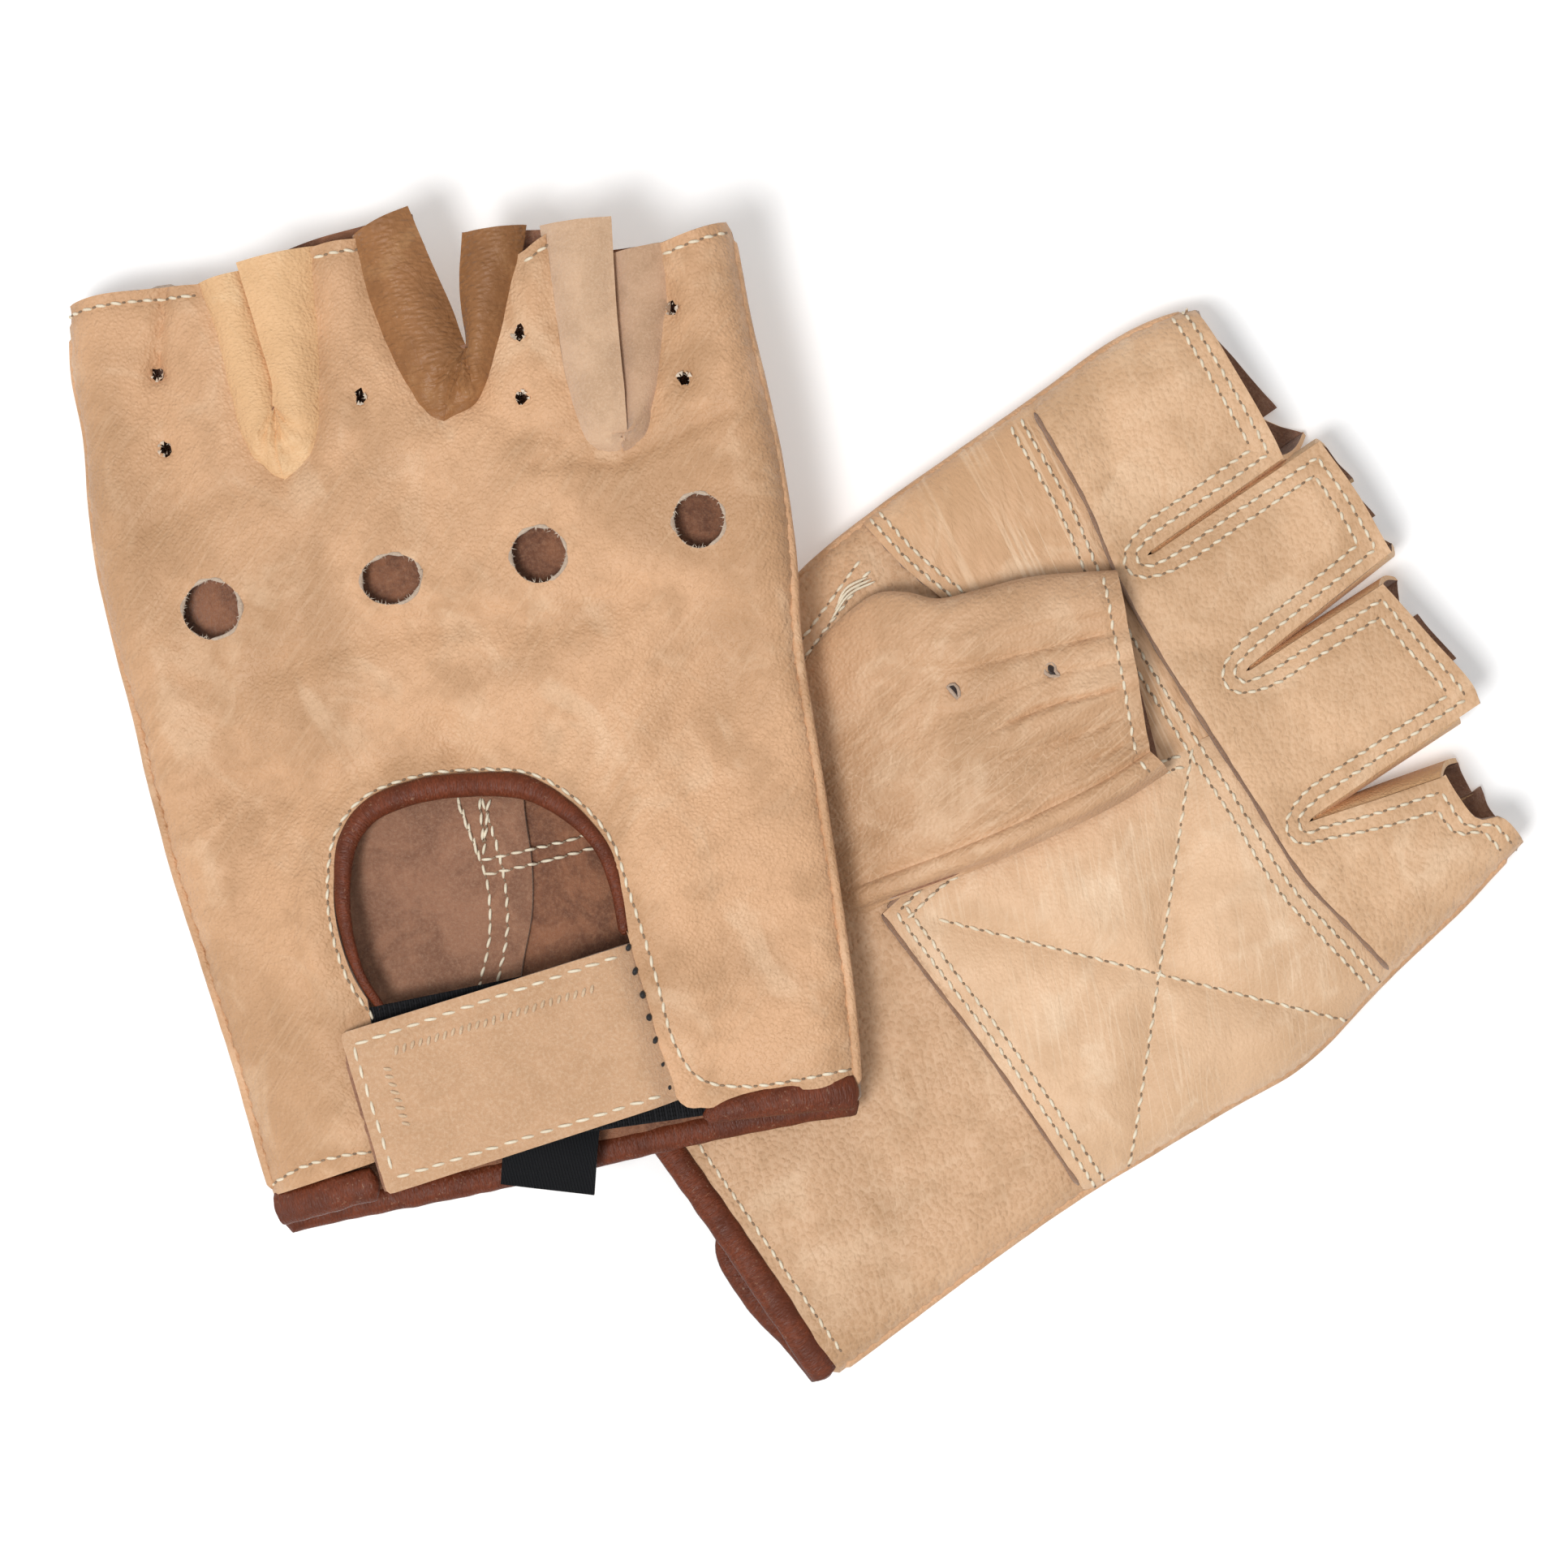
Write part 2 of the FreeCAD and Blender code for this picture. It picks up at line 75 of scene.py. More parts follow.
# ---- Curves ------------------------------------------------------------------------------------------------
def smooth(points, step=1.0):
    """A smooth line through the points, as rows of (u, v), with about this much between rows."""
    p = np.array(points, float)
    if len(p) == 2:
        n = max(int(math.dist(*points) / step), 1)
        return p[0] + (p[1] - p[0]) * np.linspace(0, 1, n + 1)[:, None]
    ends = np.vstack([2 * p[0] - p[1], p, 2 * p[-1] - p[-2]])
    out = [p[:1]]
    for a, b, c, d in zip(ends, ends[1:], ends[2:], ends[3:]):
        n = max(int(np.linalg.norm(c - b) / step), 1)
        gaps = [max(np.linalg.norm(q - r), 1e-6) ** 0.5 for q, r in ((b, a), (c, b), (d, c))]
        t0, t1, t2, t3 = np.cumsum([0] + gaps)
        t = np.linspace(t1, t2, n + 1)[1:, None]
        a1 = (t1 - t) / (t1 - t0) * a + (t - t0) / (t1 - t0) * b
        a2 = (t2 - t) / (t2 - t1) * b + (t - t1) / (t2 - t1) * c
        a3 = (t3 - t) / (t3 - t2) * c + (t - t2) / (t3 - t2) * d
        b1 = (t2 - t) / (t2 - t0) * a1 + (t - t0) / (t2 - t0) * a2
        b2 = (t3 - t) / (t3 - t1) * a2 + (t - t1) / (t3 - t1) * a3
        out.append((t2 - t) / (t2 - t1) * b1 + (t - t1) / (t2 - t1) * b2)
    return np.vstack(out)


def evenly(path, step):
    """The same line with its rows evenly spaced."""
    path = np.asarray(path, float)
    run = np.concatenate([[0], np.cumsum(np.linalg.norm(np.diff(path, axis=0), axis=1))])
    keep = np.concatenate([[True], np.diff(run) > 1e-9])
    n = max(int(round(run[-1] / step)), 1)
    at = np.linspace(0, run[-1], n + 1)
    return np.stack([np.interp(at, run[keep], path[keep, i]) for i in range(path.shape[1])], axis=1)


def beside(path, distance):
    """The line moved to its right-hand side."""
    d = np.gradient(path, axis=0)
    d /= np.linalg.norm(d, axis=1)[:, None] + 1e-12
    return path + np.stack([d[:, 1], -d[:, 0]], axis=1) * distance


def distance_to(u, v, path):
    """Distance of each (u, v) from the line."""
    best = np.full(np.shape(u), 1e9)
    for (au, av), (bu, bv) in zip(path[:-1], path[1:]):
        du, dv = bu - au, bv - av
        size = du * du + dv * dv
        if size < 1e-12:
            continue
        t = np.clip(((u - au) * du + (v - av) * dv) / size, 0, 1)
        best = np.minimum(best, (u - au - t * du) ** 2 + (v - av - t * dv) ** 2)
    return np.sqrt(best)


def inside(u, v, loops):
    """True where (u, v) is inside the first loop and outside the others."""
    odd = np.zeros(np.shape(u), bool)
    for loop in loops:
        a = np.asarray(loop)
        b = np.roll(a, -1, axis=0)
        for (au, av), (bu, bv) in zip(a, b):
            if av == bv:
                continue
            crosses = ((av > v) != (bv > v)) & (u < (bu - au) * (v - av) / (bv - av) + au)
            odd ^= crosses
    return odd


def step_up(x, low, high):
    t = np.clip((x - low) / (high - low), 0, 1)
    return t * t * (3 - 2 * t)


def bump(distance, width):
    return np.exp(-(distance / width) ** 2)


def ripple(u, v, size, seed=0.0):
    """Smooth noise from -1 to 1 with features of about this size."""
    flat_u, flat_v = np.ravel(u) / size, np.ravel(v) / size
    out = [noise.noise((a, b, seed)) for a, b in zip(flat_u, flat_v)]
    return np.array(out).reshape(np.shape(u))


# ---- The two gloves ----------------------------------------------------------------------------------------
# Each slit between two stalls: left and right u at the open end, the same at the bottom, the bottom's v.
# Each lobe is one half of a fourchette as the back shows it: its outer edge, and its edge along the slit.
SHAPES = {
    "right": {
        "index_side": [(-44.6, -3), (-45.6, 6), (-47.2, 22), (-49.2, 38), (-51, 52), (-52, 66), (-52.4, 74),
                       (-53.6, 86), (-54.2, 98), (-53.8, 108), (-53, 118), (-53.3, 128), (-51.6, 139.5)],
        "little_side": [(44.6, -3), (46.3, 12), (47.2, 28), (47.8, 46), (48.5, 68), (50, 80), (50.6, 94),
                        (50.4, 104), (49.8, 116), (49.7, 128), (48.8, 136)],
        "fold": 99.0,
        "back_ends": [[(-56, 137.6), (-45, 138.2), (-36, 137.4), (-22.5, 136.0)],
                      [(-22.5, 138.0), (-13, 138.8), (-9, 139), (-5, 138.8), (6, 139)],
                      [(10, 130.5), (17.4, 131.4), (22.6, 133.8), (30, 136)],
                      [(32, 128.4), (39, 128.9), (49, 130.4), (54, 131)]],
        "palm_ends": [[(-56, 136.8), (-45, 137.0), (-36, 136.4), (-22.5, 135.0)],
                      [(-22.5, 138.6), (-13, 140.4), (-5, 141), (6, 141.4)],
                      [(6, 136.4), (12, 136.8), (22, 135), (30, 134.4)],
                      [(30, 130), (39, 129.6), (49, 129.4), (54, 129.8)]],
        "slits": [(-23.4, -21.8, -23, -22.2, 109), (2.6, 9.6, 6.6, 7.8, 118), (29.9, 31.3, 28.4, 29.4, 104)],
        "lobes": [
            {"left": [(-22.3, 105.4), (-24.9, 107.6), (-26.8, 111.5), (-27.8, 117), (-28.4, 127),
                      (-29.9, 137)],
             "right": [(-22.3, 105.4), (-18.6, 107.8), (-16, 113), (-14.6, 121), (-13.6, 130), (-12.7, 139)],
             "slit_left": [(-21.7, 116.5), (-20.6, 120), (-21.3, 127), (-22.7, 137.6)],
             "slit_right": [(-21.8, 116.5), (-20.9, 120), (-21.7, 127), (-23.1, 138.6)], "full": 2.3,
             "over": "right"},
            {"left": [(2.8, 109.4), (0.9, 110.6), (-1.2, 115.2), (-3.4, 122), (-5.0, 130), (-5.4, 139.6)],
             "right": [(2.8, 109.4), (7.8, 111.7), (12.2, 119.4), (15.4, 127), (17.4, 131.4), (19, 135.8)],
             "slit_left": [(7.6, 119.6), (6.9, 125), (5.2, 132), (2.9, 142)],
             "slit_right": [(8.2, 119.6), (8.0, 124), (8.6, 130), (10.2, 136.4)], "full": 2.7},
            {"left": [(28.4, 100.4), (24.6, 100.8), (23, 103.8), (21.7, 112.8), (22, 122), (22.6, 135.2)],
             "right": [(28.4, 100.4), (31, 101.4), (33.2, 105.4), (35.8, 112.8), (38.4, 121.7), (38.9, 129)],
             "slit_left": [(29.1, 102.6), (29.3, 107), (30.1, 118.3), (32.0, 134.2)],
             "slit_right": [(28.9, 102.6), (29.0, 107), (29.7, 118), (31.0, 129)], "full": 1.9,
             "over": "left"}],
        "thumb_down": 7.0,
        "gusset_finish": ["light_gusset", "brown_gusset", "grey_gusset"],
    },
    "left": {
        "index_side": [(-41.5, -3), (-43.4, 10), (-47, 30), (-50, 46), (-52, 58), (-53.8, 68), (-54.6, 80),
                       (-54.8, 94), (-55, 110), (-55.3, 122), (-54.3, 130), (-51.6, 138)],
        "little_side": [(50, -3), (49.4, 11), (48.7, 28), (48.5, 45), (49.4, 61), (50.2, 73), (51.1, 83),
                        (50.4, 90), (48.8, 97), (47.2, 105), (45.2, 118), (43.4, 126), (41.6, 135)],
        "fold": 105.0,
        "back_ends": [[(-58, 136.6), (-50, 136.8), (-44, 137.6), (-31, 138.8), (-25.8, 139)],
                      [(-28, 139.4), (-20, 140.8), (-7, 141.6), (-3.2, 140)],
                      [(-6, 137.4), (4, 138.4), (18, 139.8), (21, 139)],
                      [(20, 133), (26, 132.2), (36, 131), (46, 132)]],
        "palm_ends": [[(-58, 136.2), (-51.9, 135.9), (-31, 134.4), (-25.8, 133.7)],
                      [(-25.8, 139.6), (-15, 139.8), (-6.5, 139.1), (-3.2, 139)],
                      [(-5, 135), (8, 136.6), (18.3, 137.8), (21, 137)],
                      [(21, 127.6), (30, 126.6), (35.2, 127.2), (36.4, 130), (44, 131.6)]],
        "slits": [(-26.2, -25.2, -26.0, -25.4, 108.6), (-5.4, -2.2, -3.4, -2.8, 111),
                  (20.8, 26.6, 20.6, 21.2, 106)],
        "lobes": [
            {"left": [(-25.6, 106), (-28, 108), (-30.4, 114), (-32, 124), (-33, 136)],
             "right": [(-25.6, 106), (-23, 108), (-20.8, 114), (-19, 126), (-18, 142)],
             "slit_left": [(-26, 114), (-26.4, 120), (-27, 140)],
             "slit_right": [(-25.2, 114), (-25, 120), (-24.4, 141.6)], "full": 1.4},
            {"left": [(-3.2, 108), (-6, 110), (-8.6, 117), (-10, 126), (-11, 139)],
             "right": [(-3.2, 108), (-0.4, 110), (2.4, 117), (4, 126), (5, 136)],
             "slit_left": [(-3.8, 115), (-4.4, 122), (-5.4, 141.5)],
             "slit_right": [(-2.6, 115), (-2.2, 122), (-1.6, 139)], "full": 1.4},
            {"left": [(20.8, 104), (18, 106), (16, 113), (15, 122), (14, 136)],
             "right": [(20.8, 104), (24, 106), (27.4, 113), (30, 121), (32, 130)],
             "slit_left": [(20.6, 111), (20.8, 118), (21.4, 134)],
             "slit_right": [(21.6, 111), (23, 118), (26.4, 131)], "full": 1.4}],
        "thumb_down": 0.0,
        "gusset_finish": ["light_gusset", "light_gusset", "light_gusset"],
    },
}
ARCH = [(-23.6, 24.2), (-26.3, 31), (-27.2, 38), (-26.7, 45), (-24.4, 52.2), (-19.6, 56.8), (-11.1, 58.6),
        (-3, 58.1), (5.6, 56.1), (11.9, 51.1), (16.2, 44), (17.2, 37.2), (17.0, 30)]
ARCH_EDGE = 0.9          # from the window's stitches in to the leather's cut edge
ARCH_STITCHES = ARCH[:-2] + [(17.3, 36.6), (18.9, 23.9), (19.8, 12.8), (22.2, 7.4), (27.8, 5), (45, 4.4)]
FLAP = [(15.9, 30.6), (16.4, 25), (17, 20), (17.6, 11.7), (18.4, 5.4), (19.8, 3.4), (22.8, 2.9)]
STRAP_TOP = (-28.7, 23.3)       # the strap's two free corners
STRAP_FOOT = (-26.1, -1.4)
# The knuckle holes: the middle's u and v, then half the width and half the height.
KNUCKLES = [(-36.7, 88.6, 4.6, 4.4), (-9.1, 87.9, 4.6, 3.7), (13.2, 87.4, 4.2, 4.1), (37.4, 87.9, 3.9, 4.1)]
VENTS = [(-39.3, 125), (-39.7, 113.6), (-9, 115.3), (16.1, 120.1), (14.8, 110.5), (38.9, 119.3), (39, 108.6)]
THUMB_BASE = ((-46.0, 75.0), (-5.2, 51.2))  # the line along the thumb's root; settle() works two points from it that nothing uses
THUMB_LEFT = [(-41.4, 56), (-43.2, 62), (-44.1, 67.5), (-43.9, 72), (-41.6, 75.6), (-38.2, 78.8), (-36, 84),
              (-33, 92), (-26.6, 103.2)]
THUMB_BAND = [(-10.4, 40.5), (-8.2, 50), (-5.4, 62), (-3.2, 74), (-1.9, 84), (-1.6, 91.8)]
THUMB_RIGHT = [(-6.8, 40.5), (-4.6, 50), (-1.6, 62), (0.6, 74), (2.0, 84), (2.3, 92.6)]
THUMB_ROOT_STITCHES = ([(-49.6, 73), (-47.8, 68), (-45, 60), (-42, 52)],
                       [(-47.6, 73.4), (-45.8, 68.4), (-43, 60), (-40, 52)])
THUMB_VENTS = [(-19.8, 86.6), (-25.4, 73.1)]
THUMB_ROWS = 90
THUMB_COLUMNS = 92
THUMB_HEM_ROW = 85       # the stitched row near the thumb's open end
QUILT = [[(1.7, 98), (48.9, 54.2)], [(1.2, 51.7), (49.4, 94.4)]]
QUILT_LINES = [evenly(line, 1.0) for line in QUILT]
PATCH_FOOT = [(-3.9, 45.6), (7.8, 46.1), (24, 46.9), (60, 46.9)]
PAD_FOOT = [(-56, 108.3), (-53.5, 107.2), (-37.2, 105.6), (-26, 103.3), (-14, 102), (12.8, 101.1),
            (27.2, 100.6), (36, 101.9), (49, 104.1)]
PANEL_END = 1.7          # the side panel runs on to here, under the patch's corner
GUSSET_SLOTS = {"light_gusset": "light_gusset_leather", "brown_gusset": "binding_leather",
                "grey_gusset": "grey_gusset_suede"}
EVEN = ((0, 1), (1, 1))  # a binding as wide at its ends as in its middle


class Glove:
    """One glove's outlines and the frame it lies in."""

    def __init__(self, side):
        self.side = side
        shape = SHAPES[side]
        self.__dict__.update(shape)
        mounts = {m["name"]: m for m in frame["record"]["mounts"]}
        joints = {j["name"]: j for j in frame["record"]["behaviour"]["joints"]}
        wrist = mounts[side + "_wrist_opening"]
        self.origin = np.array(wrist["pos_m"])
        self.v_axis = -np.array(wrist["axis"])
        self.u_axis = np.array(joints[side + "_stalls_fold"]["axis"])
        self.w_axis = np.cross(self.u_axis, self.v_axis) * (1 if side == "right" else -1)
        self.left_edge = evenly(smooth(shape["index_side"]), 1.0)
        self.right_edge = evenly(smooth(shape["little_side"]), 1.0)
        self.glove_body = side + "_glove"
        self.stalls_body = side + "_stalls"
        self.fold_w = FULL if side == "right" else 0.0

    def sides(self, v):
        """The u of the index and little finger edges at each v."""
        low = np.interp(v, self.left_edge[:, 1], self.left_edge[:, 0])
        high = np.interp(v, self.right_edge[:, 1], self.right_edge[:, 0])
        return low, high

    def inset(self, u, v):
        """How far each (u, v) is in from the nearer side edge."""
        low, high = self.sides(v)
        return np.clip(np.minimum(u - low, high - u), 0, None)

    def height(self, v):
        """Height of the back's outer face over the palm's."""
        return HEIGHT + RISE * np.clip(v / self.fold, -0.1, 1)

    def limp(self, u, v):
        """How far the upper glove's back sinks in and its palm rises, from 0 to 1."""
        if self.side == "left":
            return 0 * u
        return step_up(v, 36, 66) * step_up(self.inset(u, v), 0, 16)

    def drape(self, u, v):
        """How far the leather sags from its flat place, towards what it lies on."""
        if self.side == "left":
            return 0 * u
        over_left_glove = -3.2 * step_up(u, 6, 46) * step_up(v, 92, 60)
        free_edge = -0.6 * step_up(u, 20, 50) * step_up(v, 60, 100)
        index_edge = -3.6 * step_up(-u, 22, 52)
        tips = -3.4 * step_up(v, 96, 138) * step_up(-u, -60, 10)
        return over_left_glove + free_edge + index_edge + tips

    def place(self, points):
        """Rows of (u, v, w) in millimetres to rows of (x, y, z) in metres."""
        p = np.asarray(points, float)
        u, v = p[:, :1], p[:, 1:2]
        w = p[:, 2:] + self.drape(u, v)
        return self.origin + MM * (u * self.u_axis + v * self.v_axis + w * self.w_axis)

    def point(self, u, v, w):
        return tuple(self.place([(u, v, w)])[0])


# ---- Surfaces of one glove ---------------------------------------------------------------------------------
def crown(distance, reach):
    """0 at an edge, rising on a quarter round to 1 at this reach."""
    t = np.clip(distance / reach, 0, 1)
    return np.sqrt(np.clip(1 - (1 - t) ** 2, 0, 1))


def folds(u, v, lines):
    """Soft ridges and creases. Each line is (points, height, width): a negative height is a crease."""
    total = np.zeros(np.shape(u))
    for points, height, width in lines:
        total += height * bump(distance_to(u, v, smooth(points, 3)), width)
    return total


BACK_FOLDS = [
    ([(-52, 58), (-38, 62), (-28, 58), (-20, 61.5), (-4, 62)], -0.55, 3.4),
    ([(-46, 20), (-40, 36), (-36, 50), (-30, 62)], -0.5, 4.5),
    ([(-33, 8), (-32, 30), (-31, 46)], 0.55, 4.2),
    ([(-30, 78), (-16, 80.5), (0, 80), (14, 77), (26, 79)], -0.5, 2.6),
    ([(-52, 101), (-38, 104), (-28, 106)], -0.35, 2.4),
    ([(-6, 66), (-3.4, 58)], -0.4, 2.2),
    ([(-36, 137), (-39.3, 125)], -0.75, 1.0),
    ([(-39.3, 125), (-39.8, 113)], -0.25, 1.6),
    ([(40, 128), (39, 119), (39, 108)], -0.25, 1.5),
    ([(15, 100.8), (22, 100), (27, 98.6), (34, 100.4), (44, 103)], -0.55, 1.3),
    ([(18, 104.4), (21.4, 101.6)], -0.3, 0.8),
    ([(22, 70), (24, 40), (22, 16)], 0.35, 5),
    ([(40, 70), (42, 44), (40, 20)], -0.3, 5),
    ([(-11, 108), (-4, 102), (2, 98)], -0.3, 3),
    ([(8, 112), (12, 107), (20, 103.6)], -0.35, 2),
    ([(-24, 24), (-21, 27), (-19, 34)], -0.4, 2.5),
    ([(-29.4, 53), (-32.2, 46), (-33.2, 37), (-32.0, 27)], -0.4, 1.5),
    ([(-28.4, 50), (-30.2, 43), (-30.8, 36), (-29.4, 27)], 0.25, 1.3),
]


def back_surface(g, u, v):
    """Outer face of the back leather."""
    lines = BACK_FOLDS if g.side == "right" else BACK_FOLDS[:6]
    top = g.height(v) - SINK * g.limp(u, v) + 2.1 * folds(u, v, lines)
    top = top + 0.55 * ripple(u, v, 17, 1.0 + len(g.side)) + 0.3 * ripple(u, v, 8, 4.0)
    for lobe in g.lobes:
        edge = np.vstack([smooth(lobe["left"], 3)[::-1], smooth(lobe["right"], 3)])
        top = top - 0.85 * bump(distance_to(u, v, edge), 1.8)
    for ku, kv, kw, _ in KNUCKLES:
        top = top + 0.25 * bump(np.hypot(u - ku, v - kv) - kw, 1.2)
    for vu, vv in VENTS:
        top = top - 0.45 * bump(np.hypot(u - vu, v - vv), 1.5)
    return MID + (top - MID) * crown(g.inset(u, v), 8.5)


PALM_CREASES = [
    ([(-48.8, 73.4), (-46.8, 68), (-44, 60), (-41, 52)], 0.5, 0.8),
    ([(-50, 76), (-46, 74.6), (-42, 77)], -0.5, 1.2),
    ([(-52, 118), (-44, 114), (-36, 110)], -0.35, 1.8),
    ([(-20, 104), (-8, 108), (-4, 110.5)], -0.3, 1.1),
    ([(34, 126), (32.5, 119), (34, 114)], -0.35, 1.6),
    ([(-30, 100), (-20, 104), (-12, 103)], -0.3, 2.0),
    ([(-24, 44), (-10, 40), (6, 38)], -0.45, 3.5),
    ([(6, 38), (24, 34), (40, 36)], -0.3, 5),
    ([(20, 22), (36, 17), (47, 15)], -0.35, 4),
    ([(10, 66), (26, 69), (46, 66)], 0.35, 5),
    ([(28, 90), (40, 84), (49, 83)], 0.3, 4),
]


def palm_side(g, u, v, out, reach=8.5):
    """The palm is below the back, so a face that stands out by this much is towards lower w."""
    return MID - (MID + out - PALM_RISE * g.limp(u, v) - 0.3) * crown(g.inset(u, v), reach)


def palm_surface(g, u, v):
    """Outer face of the palm leather."""
    out = folds(u, v, PALM_CREASES) + 0.45 * ripple(u, v, 19, 8.0) + 0.25 * ripple(u, v, 8, 3.0)
    return palm_side(g, u, v, out)


def patch_surface(g, u, v):
    """Outer face of the padded patch: it swells between its stitched lines."""
    edge = distance_to(u, v, g.patch_stitch)
    lines = np.minimum(distance_to(u, v, QUILT[0]), distance_to(u, v, QUILT[1]))
    puff = (1 - bump(lines, 3.2)) * step_up(edge, 0, 6) * step_up(g.inset(u, v), 0, 9)
    puff = puff * (1 - 0.8 * bump(distance_to(u, v, g.patch_top), 3.0))
    out = 1.2 + puff + folds(u, v, PALM_CREASES) + 0.4 * ripple(u, v, 19, 8.0) + 0.22 * ripple(u, v, 7, 3.3)
    return palm_side(g, u, v, out - 0.35 * bump(np.minimum(edge, lines), 0.75))


def pad_surface(g, u, v):
    """Outer face of the finger pad. Its lower edge laps over the patch."""
    out = 1.5 + 1.3 * bump(distance_to(u, v, g.pad_foot), 5.0) + folds(u, v, PALM_CREASES)
    out = out + 0.3 * ripple(u, v, 15, 5.0) + 0.26 * ripple(u, v, 7.0, 9.0)
    for line in g.slit_edges:
        out = out - 0.5 * bump(distance_to(u, v, line), 1.3)
    for line in g.pad_stitches:
        out = out - 0.3 * bump(distance_to(u, v, line), 0.7)
    return palm_side(g, u, v, out, 7.5)


def side_panel_surface(g, u, v):
    """Outer face of the fine-ribbed panel beside the index finger's root."""
    across = v * 0.87 + u * 0.49 + 0.5 * ripple(u, v, 14, 2.0)
    ribs = 0.09 * np.sin(across * 2 * math.pi / 2.6) * (1 + ripple(u, v, 8, 5.0))
    out = 1.0 + ribs + 0.5 * ripple(u, v, 14, 6.0) - 0.6 * bump(distance_to(u, v, g.patch_top), 2.2)
    return palm_side(g, u, v, out)


# ---- Mesh building -----------------------------------------------------------------------------------------
def flat_mesh(loops, spacing, extra=None):
    """Triangles that fill the first loop and leave the other loops open. extra adds points along seams."""
    border = np.vstack(loops)
    edges = []
    start = 0
    for loop in loops:
        n = len(loop)
        edges += [(start + i, start + (i + 1) % n) for i in range(n)]
        start += n
    low, high = loops[0].min(0), loops[0].max(0)
    rows = np.arange(low[1], high[1], spacing * 0.866)
    points = []
    for i, v in enumerate(rows):
        u = np.arange(low[0] + (i % 2) * spacing / 2, high[0], spacing)
        points.append(np.stack([u, np.full_like(u, v)], axis=1))
    hexes = np.vstack(points)
    hexes = hexes[inside(hexes[:, 0], hexes[:, 1], loops)]
    fixed = [border]
    if extra is not None and len(extra):
        extra = extra[inside(extra[:, 0], extra[:, 1], loops)]
        if len(extra):
            extra = thin_out(extra, border, 0.45)
            fixed.append(extra)
    fixed = np.vstack(fixed)
    hexes = thin_out(hexes, fixed, spacing * 0.62)
    every = np.vstack([fixed, hexes])
    result = delaunay_2d_cdt([Vector(p) for p in every.tolist()], edges, [], 0, 1e-7)
    verts = np.array([(p.x, p.y) for p in result[0]])
    tris = np.array([f for f in result[2] if len(f) == 3])
    centre = verts[tris].mean(1)
    return verts, tris[inside(centre[:, 0], centre[:, 1], loops)]


def thin_out(points, fixed, gap):
    """The points that are at least this far from the fixed ones and from each other."""
    tree = kdtree.KDTree(len(fixed))
    for i, (u, v) in enumerate(fixed):
        tree.insert((u, v, 0), i)
    tree.balance()
    kept, cells = [], {}
    for u, v in points:
        if tree.find((u, v, 0))[2] < gap:
            continue
        key = (int(u // gap), int(v // gap))
        near = (q for i in (-1, 0, 1) for j in (-1, 0, 1) for q in cells.get((key[0] + i, key[1] + j), ()))
        if any((q[0] - u) ** 2 + (q[1] - v) ** 2 < (0.85 * gap) ** 2 for q in near):
            continue
        cells.setdefault(key, []).append((u, v))
        kept.append((u, v))
    return np.array(kept).reshape(-1, 2)


def seam_points(lines):
    """Extra points along stitched lines, so that their grooves have real shape."""
    rows = []
    for line in lines:
        path = evenly(line, 1.0)
        rows += [beside(path, offset) for offset in (-1.5, -0.7, 0, 0.7, 1.5)]
    return np.vstack(rows) if rows else None


def make_object(g, name, points, faces, materials, face_slots=None, local=None, sharp=50, seam=None):
    """A mesh object from rows of (u, v, w), with its faces turned outward. Its name gets the glove's side."""
    name = f"{g.side}_{name}"
    mesh = bpy.data.meshes.new(name)
    mesh.from_pydata([tuple(p) for p in g.place(points).tolist()], [], [tuple(f) for f in faces])
    for key in materials:
        mesh.materials.append(MAT[key])
    if face_slots is not None:
        mesh.polygons.foreach_set("material_index", np.asarray(face_slots, np.int32))
    if local is not None:
        attribute = mesh.attributes.new("local", "FLOAT_VECTOR", "POINT")
        attribute.data.foreach_set("vector", np.asarray(local, np.float32).ravel())
    if seam is not None:
        attribute = mesh.attributes.new("seam", "FLOAT", "POINT")
        attribute.data.foreach_set("value", np.asarray(seam, np.float32))
    work = bmesh.new()
    work.from_mesh(mesh)
    bmesh.ops.recalc_face_normals(work, faces=work.faces)
    work.to_mesh(mesh)
    work.free()
    mesh.shade_smooth()
    mesh.set_sharp_from_angle(angle=math.radians(sharp))
    obj = bpy.data.objects.new(name, mesh)
    bpy.context.collection.objects.link(obj)
    return obj


def boundary_edges(tris):
    """Edges that belong to one triangle, in that triangle's direction."""
    seen = {}
    for a, b, c in tris:
        for e in ((a, b), (b, c), (c, a)):
            seen[e] = seen.get(e, 0) + 1
    return [e for e in seen if (e[1], e[0]) not in seen]


